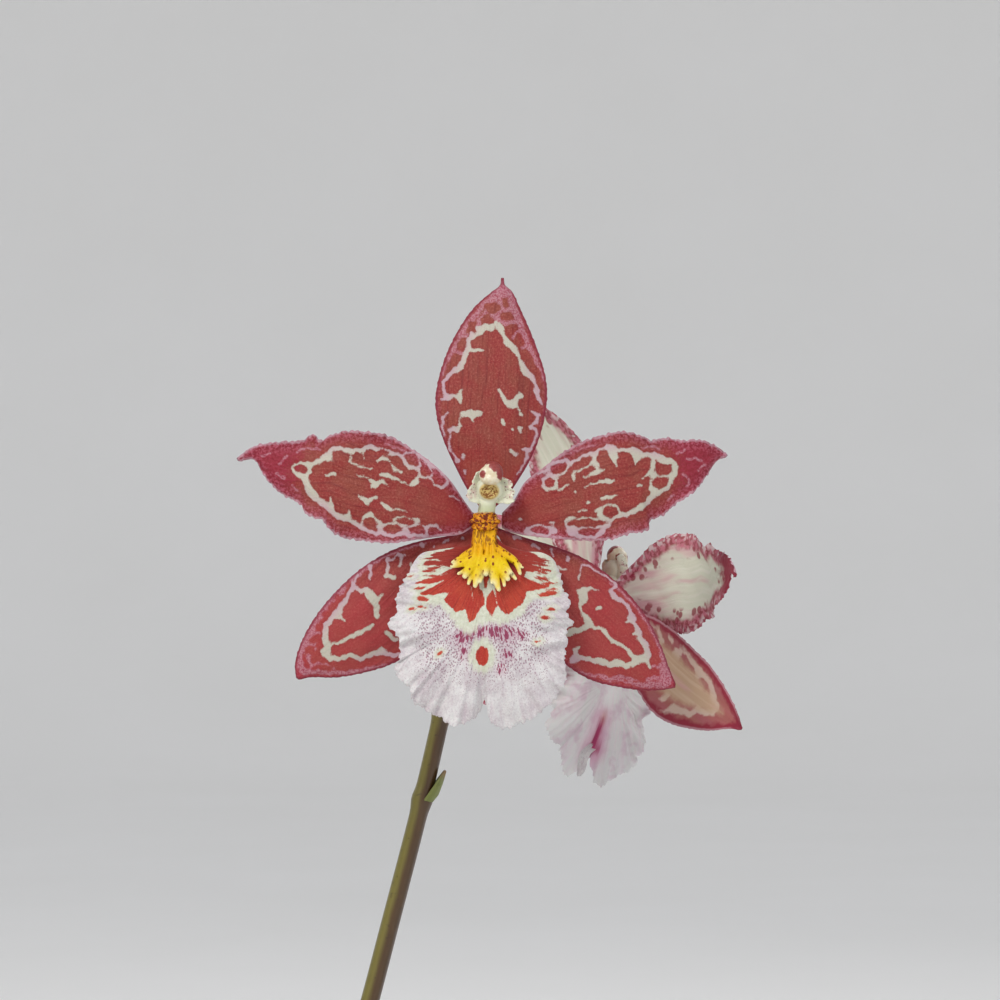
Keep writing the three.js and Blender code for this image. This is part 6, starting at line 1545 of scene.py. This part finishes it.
LIP_FINISHES = (lip_face(), lip_back())
for bloom, lip in LIPS.items():
    def apron(u, v, lip=lip):
        reach = 1 - np.abs(2 * v - 1)
        reach = np.clip(reach * 1.04, 0, 1) ** 0.8
        half = PETAL_THICKNESS / 2 * (0.35 + 0.65 * (1 - reach**6))
        half = half * np.sqrt(np.clip((1 - reach) / 0.02, 0, 1))
        front = np.where(v < 0.5, -1.0, 1.0)
        spot = lip_sheet(lip, u, reach)
        spot[:, 1] += front * half
        return spot

    piece, u, v = skin(f"{bloom}_lip_grown", 480, 92, apron)
    home = places_of(piece)
    flat = home[:, [0, 2]]
    from_heart = flat - LIP_FAN_CENTRE
    spread = np.arctan2(from_heart[:, 0], -from_heart[:, 1]) * LIP_FAN_RADIUS
    fan = np.stack([spread, np.hypot(*from_heart.T), u * 0], 1)
    red = np.min([patch_of(flat, outline) for outline in LIP_RED], axis=0)
    red = np.maximum(red, -reach_of(flat, LIP_PALE))
    spots = cells_of(flat, LIP_SPOTS) + LIP_SPOT_TRIM
    band = patch_of(flat, LIP_BAND)
    halo = cells_of(flat, LIP_SPOTS, LIP_SPOT_COLLAR)
    halo = np.minimum(halo, oval_of(flat, *LIP_EYE_COLLAR))
    crowd = sum(
        np.exp(-(((flat[:, 0] - x) / wide) ** 2) - ((flat[:, 1] - z) / high) ** 2)
        for x, z, wide, high in LIP_DASHES
    )
    dust = smooth((flat[:, 1] + 40) / 17) * smooth((17 - np.abs(flat[:, 0] + 1.5)) / 7)
    dust = dust * smooth((-flat[:, 1] - 13) / 4) * 1.15
    mark(
        piece, home=home, fan=fan, red=np.clip(np.minimum(red, spots), -2, 4),
        band=np.clip(np.minimum(band, halo), -3, 4), rim=np.abs(2 * v - 1) * 16,
        dashes=np.clip(crowd, 0, 1), dust=np.clip(dust, 0, 1), shade=0.75 * smooth((flat[:, 1] + 12) / 4),
        keel=np.clip(reach_of(flat, [LIP_KEEL]), -2, 8),
    )
    two_sided(piece, v)
    weld(piece)
    for material in LIP_FINISHES:
        piece.data.materials.append(material)
    if lip["notch"]:
        def tongue(u, across, lip=lip):
            z = -31.5 - 8.0 * u
            rounded = np.clip(1 - (2 * np.clip(u, 0, 1) - 0.9) ** 4 * 0.7, 0.05, 1)
            half = 1.8 * np.sqrt(rounded) * (1 - 0.3 * u)
            curled = 2.9 * smooth(u / 0.4) + 1.2 * u**3 - 0.5 * across**2 - 0.8
            y = lip_depth(lip, -1.1 + 0 * u, np.maximum(z, -36.0), 0.8, 0.0) + curled
            return np.stack([-1.1 + across * half + 0.3 * np.sin(5 * u), y, z], 1)

        tab, tab_u, _ = blade("lip_tongue", 30, 24, tongue, lambda u, across: 0.5, -1)
        curl = places_of(tab)
        nought = tab_u * 0
        mark(
            tab, home=curl, fan=curl, red=nought + 3, band=nought + 3,
            rim=nought + 3, dashes=nought, dust=nought, shade=nought, keel=nought + 1.2 + 6 * tab_u,
        )
        weld(tab)
        for material in LIP_FINISHES:
            tab.data.materials.append(material)
        piece = join(piece.name, [piece, tab])
    piece.data.transform(Matrix.Rotation(lip["turn"], 4, "Y"))
    settle(piece, BLOOMS[bloom])
    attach(piece, "root")
    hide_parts(f"{bloom}_lip")

# The crest: a fleshy yellow callus on the base of the lip. Four ridges run down from the heart, and split
# into a fan of pointed lobes that stand off the blade. Brown dashes lie in the grooves, and the lobes' tips
# are pale.
CREST_GRAIN = 0.12
CREST_RIDGES = [(-2.75, -3.1), (-1.55, -2.0), (-0.35, -0.6), (0.65, 0.9)]
# Each lobe runs through the given places and has a half width, a half depth and a lift at its tip.
CREST_LOBES = [
    ([(-2.8, -5.2), (-5, -6.6), (-7.7, -8.1)], 0.55, 0.5, 1.0),
    ([(-2.6, -6.4), (-4.6, -7.8), (-7.9, -8.9)], 0.8, 0.6, 1.1),
    ([(-2.4, -6.8), (-4, -9), (-5.2, -11.1)], 1.25, 0.8, 1.3),
    ([(-2, -7), (-2.4, -10), (-3, -13)], 1.15, 0.7, 1.0),
    ([(-0.9, -6.6), (-0.8, -8.6), (-0.8, -10.6)], 1.0, 0.8, 1.6),
    ([(0, -7), (0.7, -10), (1.9, -13.7)], 1.05, 0.7, 1.1),
    ([(0.4, -6.6), (2, -8.8), (3.8, -11.6)], 1.2, 0.8, 1.4),
    ([(0.8, -6.4), (2.4, -8.2), (4.4, -10.2)], 1.0, 0.7, 1.5),
    ([(0.8, -4.8), (3, -6.4), (5, -7.8), (6.1, -10.5)], 0.65, 0.6, 1.2),
    ([(-3.2, -8), (-4.6, -9.4), (-6.5, -10.3)], 0.4, 0.5, 1.2),
    ([(-3.2, -9.2), (-3.9, -11), (-4.3, -12.4)], 0.4, 0.5, 1.3),
    ([(-1.7, -9.4), (-1.7, -10.8), (-2, -12)], 0.4, 0.5, 1.2),
    ([(0.5, -9.4), (0.5, -10.8), (0.4, -12.2)], 0.4, 0.5, 1.3),
    ([(1.6, -9.2), (2.6, -11), (2.9, -12.8)], 0.4, 0.5, 1.3),
    ([(2.6, -8.8), (4, -10), (5.3, -11.4)], 0.4, 0.5, 1.4),
    ([(3.2, -7.2), (5.2, -8), (6.7, -9.1)], 0.35, 0.45, 1.2),
]


def fuse(name, pieces, grain, easing):
    """Melts several closed bodies into one skin."""
    piece = join(name, pieces)
    apply(piece, "REMESH", mode="VOXEL", voxel_size=grain * MM)
    apply(piece, "SMOOTH", factor=0.5, iterations=easing)
    for layer in list(piece.data.attributes):
        if layer.name in ("along", "around", "across"):
            piece.data.attributes.remove(layer)
    mark(piece, home=places_of(piece))
    bpy.ops.object.shade_smooth()
    return piece


callus = Finish("crest_callus", 0.5, Subsurface_Weight=0.03, Specular_IOR_Level=0.22,
                Subsurface_Radius=(0.0012, 0.0009, 0.0002))
home = callus.read("home", "Vector")
height = callus.height(home)
grooves_and_painted_shade = callus.read("grooves")
yellow = callus.mix(callus.step(height, -5.0, -8.5), tone(222, 164, 4), tone(222, 192, 8))
yellow = callus.wash(yellow, callus.step(callus.noise(home, 1.6, 3.0), 0.4, 0.7), 0.4, tone(204, 146, 2))
yellow = callus.mix(callus.read("tips"), yellow, tone(230, 228, 186))
# Painted shade: the yellow turns darker orange deep in the grooves, where the crest lies close to the blade.
yellow = callus.wash(yellow, callus.step(grooves_and_painted_shade, 0.45, 1.0), 0.7, tone(178, 96, 6))
streaky = callus.noise(callus.stretch(home, (2.6, 2.6, 0.75)), 1.0, 2.0)
dash = callus.times(callus.step(streaky, 0.5, 0.55), callus.step(grooves_and_painted_shade, 0.1, 0.45))
yellow = callus.wash(yellow, dash, 0.9, tone(104, 40, 12))
dots = callus.step(callus.cells(callus.stretch(home, (1.0, 1.0, 0.7)), 1.0), 0.3, 0.2)
zone = callus.times(callus.step(height, -3.4, -5.0), callus.step(height, -11.4, -9.4))
callus.colour(callus.mix(callus.times(dots, zone), yellow, tone(128, 58, 6)))
callus.relief(callus.noise(home, 3.0, 3.0), 0.2, 0.6)
for bloom, lip in LIPS.items():
    lobes = []
    for number, (route, wide, deep, lift) in enumerate(CREST_LOBES):
        def lobe(u, across, route=route, wide=wide, deep=deep, lift=lift):
            share = np.clip(u, 0, 1)
            table = np.linspace(0, 1, 60)
            line = along(route, table)
            spot = points_at(share, table, line)
            ahead = np.gradient(line, axis=0)
            ahead /= np.linalg.norm(ahead, axis=1)[:, None]
            ahead = points_at(share, table, ahead)
            width = wide * (0.75 + 0.5 * np.sin(math.pi * share**0.9))
            width = width * np.clip(1.02 - share**1.7, 0.02, 1) ** 0.85
            x = spot[:, 0] - ahead[:, 1] * across * width
            z = spot[:, 1] + ahead[:, 0] * across * width + (u - share) * 5
            off = 0.6 + deep + lift * share**1.6 - 0.35 * across**2
            return np.stack([x, lip_depth(lip, x, z, 0.0, 0.0) - off, z], 1)

        def lobe_body(u, across, deep=deep):
            return 2 * deep * (1 - 0.45 * np.clip(u, 0, 1) ** 2)

        piece, _, _ = blade(f"lobe_{number}", 26, 24, lobe, lobe_body, -1)
        weld(piece)
        lobes.append(piece)
    for number, (top, bottom) in enumerate(CREST_RIDGES):
        levels = np.linspace(-1.1, -9.4, 7)
        bends = [bottom * 1.05 - 0.4, (top + bottom) / 2 - 0.1, top * 0.86 - 0.1]
        front = [
            (x, float(lip_depth(lip, x, z, 0.0, 0.0)) - 1.35 - 0.25 * (z < -5), z)
            for x, z in zip(np.interp(levels, [-9.4, -6.5, -2], bends), levels)
        ]
        lobes.append(
            tube(f"ridge_{number}", front, lambda share, angle: 0.6 + 0.1 * np.sin(9 * share), 40, 14)
        )
        back = [(x, y + 1.1, z) for x, y, z in front]
        lobes.append(tube(f"base_{number}", back, lambda share, angle: 1.0 + 0 * share, 30, 14))
    piece = fuse(f"{bloom}_crest_grown", lobes, CREST_GRAIN, 1)
    x, y, z = places_of(piece).T
    tips = np.zeros(len(x))
    for route, *_ in CREST_LOBES:
        tips = np.maximum(tips, np.exp(-((x - route[-1][0]) ** 2 + (z - route[-1][1]) ** 2) / 1.0))
    # grooves: painted shade deep between the lobes and ridges, where the crest lies within 2 mm of the blade,
    # and a weaker value over the upper crest that only places the brown dashes.
    proud = lip_depth(lip, x, z, 0.0, 0.0) - y
    between = np.clip((2.0 - proud) / 0.9, 0, 1) * smooth((z + 10.5) / 3)
    grooves = np.maximum(between, 0.34 * smooth((z + 6.5) / 3))
    mark(piece, tips=np.clip(tips, 0, 1) * 0.85, grooves=grooves)
    piece.data.materials.append(callus.material)
    piece.data.transform(Matrix.Rotation(lip["turn"], 4, "Y"))
    settle(piece, BLOOMS[bloom])
    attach(piece, "root")
    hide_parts(f"{bloom}_crest")

# The column: stamen and style grown into one, standing out from the heart above the lip. It has a swollen
# orange foot in three spotted rows, a pale neck, and a hood with the sticky hollow of the stigma in front and
# a ragged white wing on each side.
COLUMN_NECK = [(-1, -3.2, 0.6), (-0.6, -4.6, 2.8), (-0.3, -5.8, 5.4)]
# The level, half width, half depth and number of beads of each row of the foot.
COLUMN_BEADS = [(1.35, 1.7, 1.8, 5), (0.15, 2.45, 2.4, 6), (-1.1, 2.0, 2.2, 6)]
COLUMN_PIT = (-0.2, -9.2, 5.95)
COLUMN_GRAIN = 0.14
COLUMN_WINGS = {
    "right": (
        [(1.2, 3.9), (1.5, 5.2), (1.8, 6.6), (2, 8.2), (2, 9)],
        [(1.6, 3.9), (2.6, 3.9), (3.9, 3.6), (4.7, 4), (4.6, 5), (4.9, 6), (4.35, 6.9), (4.5, 7.7),
         (3.9, 8.3), (2.8, 8.6), (2.4, 9)],
    ),
    "left": (
        [(-1.7, 3.8), (-2, 5.2), (-2.1, 6.6), (-1.9, 8.2), (-1.5, 9.6)],
        [(-2.1, 3.7), (-3.1, 4), (-4.3, 4.3), (-4.6, 5.1), (-4.4, 6.1), (-3.9, 6.9), (-3.4, 8.3),
         (-2.5, 9.8), (-1.8, 10.3)],
    ),
}


def ball(centre, radii, segments=32):
    """A round lump, in mm."""
    bpy.ops.object.select_all(action="DESELECT")
    bpy.ops.mesh.primitive_uv_sphere_add(segments=segments, ring_count=segments // 2, radius=1)
    piece = bpy.context.object
    size = Matrix.Diagonal((*(radius * MM for radius in radii), 1))
    piece.data.transform(Matrix.Translation(Vector(centre) * MM) @ size)
    return piece


pale = Finish("column_flesh", 0.48, Subsurface_Weight=0.12, Specular_IOR_Level=0.3,
              Subsurface_Radius=(0.0012, 0.001, 0.0006))
home = pale.read("home", "Vector")
height = pale.height(home)
body = pale.mix(pale.step(height, 2.2, 4.5), tone(196, 202, 164), tone(212, 212, 190))
hollow = pale.read("stigma")
body = pale.mix(pale.step(hollow, 0.5, -0.1), body, tone(196, 170, 104))
sticky = pale.step(pale.noise(home, 1.9, 3.0, 0.6, 0.8), 0.47, 0.53)
body = pale.mix(pale.times(sticky, pale.step(hollow, 0.2, -0.3)), body, tone(120, 72, 22))
blush = pale.times(pale.step(pale.noise(home, 0.9, 2.0), 0.48, 0.62), pale.read("wing"))
body = pale.wash(body, blush, 0.5, tone(190, 130, 140))
freckle = pale.step(pale.cells(home, 1.7), 0.3, 0.2)
body = pale.mix(pale.times(freckle, pale.read("wing")), body, tone(120, 52, 70))
amber = pale.mix(pale.step(pale.noise(home, 1.3, 2.0), 0.4, 0.65), tone(200, 118, 6), tone(216, 154, 14))
leopard = pale.step(pale.noise(pale.stretch(home, (1.5, 1.5, 2.3)), 1.0, 2.0, 0.5, 0.4), 0.49, 0.54)
amber = pale.mix(leopard, amber, tone(112, 38, 10))
foot = pale.step(pale.plus(height, pale.times(pale.noise(home, 1.5), 0.8)), 2.6, 2.1)
pale.colour(pale.mix(foot, body, amber))
pale.relief(pale.noise(home, 4.0, 3.0), 0.15, 0.5)
for bloom in BLOOMS:
    rearward = [(HEART[0], HEART_BACK - 0.3, HEART[1]), (HEART[0], -2.6, HEART[1])]
    lumps = [
        tube("heart", rearward, lambda share, angle: 2.3 + 0 * share, 20, 24),
        ball((-1, -3.4, -0.1), (2.65, 2.5, 2.3)), ball((0, -6.3, 6.6), (2.5, 2.1, 2.5)),
        tube("neck", COLUMN_NECK, lambda share, angle: 1.75 - 0.1 * share, 30, 24),
    ]
    for row, (level, wide, deep, number) in enumerate(COLUMN_BEADS):
        for step in range(number):
            angle = math.radians(-95 + 190 * (step + 0.5 * (row % 2)) / (number - 0.5))
            centre = (-1 + wide * math.sin(angle), -3.4 - deep * math.cos(angle), level)
            lumps.append(ball(centre, (0.72, 0.7, 0.55), 16))
    for edges in COLUMN_WINGS.values():
        side = math.copysign(1, edges[0][0][0])
        flat_wing = {"edges": edges}

        def wing(u, across, flat_wing=flat_wing):
            flat = tepal_flat(flat_wing, u, across)
            out = (across + 1) / 2
            frill = 0.3 * out**3 * ripple(u * 12, 1.4, 2.9, 4.7)
            x = flat[:, 0] + frill * np.sign(flat[:, 0])
            return np.stack([x, -5.6 - 1.5 * out**2 + frill, flat[:, 1]], 1)

        piece, _, _ = blade("wing", 60, 30, wing, lambda u, across: 0.75 - 0.25 * across, -side)
        weld(piece)
        lumps.append(piece)
    piece = fuse(f"{bloom}_column_grown", lumps, COLUMN_GRAIN, 2)
    pit = ball(COLUMN_PIT, (2.3, 1.85, 1.8))
    apply(piece, "BOOLEAN", object=pit, operation="DIFFERENCE", solver="EXACT")
    bpy.data.objects.remove(pit)
    home_mm = places_of(piece)
    x, y, z = home_mm.T
    piece.data.attributes.remove(piece.data.attributes["home"])
    off_x, off_y, off_z = (home_mm - COLUMN_PIT).T
    sunk = np.hypot(np.hypot(off_x / 2.3, off_z / 1.82), off_y / 2.4)
    mark(
        piece, home=home_mm, stigma=(sunk - 1) * 1.6,
        wing=smooth((np.abs(x) - 2.4) / 0.7) * smooth((z - 4.2) / 0.8) * 0.85,
    )
    piece.data.materials.append(pale.material)
    settle(piece, BLOOMS[bloom])
    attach(piece, "root")
    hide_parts(f"{bloom}_column")

# The anther cap: a small loose helmet that covers the pollen at the top of the column. It is waxy and cream
# white, blotched with wine red over the crown and down one side, and lobed at its front edge.
CAP_DOMES = [
    ((0.55, -7.4, 9.7), (2.1, 2.2, 2.4)), ((0.2, -8.1, 8.6), (2.0, 1.7, 1.25)),
    ((-0.6, -7.6, 9.4), (1.6, 1.7, 1.7)),
]
CAP_WINE_EDGE = [
    (-1, 12.8), (-0.5, 11.5), (0.2, 10.5), (1.2, 9.8), (1.5, 8.9), (2, 8.4), (3.2, 8.2), (3.2, 12.8),
]
CAP_WINE_SPOT = (-1.35, 9.5, 0.65, 0.7, 20)
cap_wax = Finish("cap_wax", 0.36, Subsurface_Weight=0.15, Coat_Weight=0.15,
                 Subsurface_Radius=(0.0012, 0.0009, 0.0006))
home = cap_wax.read("home", "Vector")
clouded = cap_wax.step(cap_wax.noise(home, 1.2, 3.0), 0.35, 0.7)
cream = cap_wax.mix(clouded, tone(212, 198, 166), tone(222, 214, 192))
blotch = cap_wax.plus(cap_wax.read("wine"), cap_wax.swing(cap_wax.noise(home, 1.0, 2.0), 1.2))
mottled = cap_wax.step(cap_wax.noise(home, 3.0, 3.0), 0.4, 0.7)
wine = cap_wax.mix(mottled, tone(132, 46, 42), tone(150, 66, 60))
cap_wax.colour(cap_wax.mix(cap_wax.step(blotch, 0.15, -0.15), cream, wine))
cap_wax.relief(cap_wax.noise(home, 3.5, 3.0), 0.12, 0.5)
for bloom, place in BLOOMS.items():
    domes = [ball(centre, radii) for centre, radii in CAP_DOMES]
    piece = fuse(f"{bloom}_anther_cap_grown", domes, COLUMN_GRAIN, 4)
    x, y, z = places_of(piece).T
    flat = np.stack([x, z], 1)
    crown = np.minimum(patch_of(flat, CAP_WINE_EDGE), oval_of(flat, *CAP_WINE_SPOT))
    mark(piece, wine=np.clip(crown, -2, 3))
    piece.data.materials.append(cap_wax.material)
    settle(piece, place)
    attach(piece, "root")
    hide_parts(f"{bloom}_anther_cap")
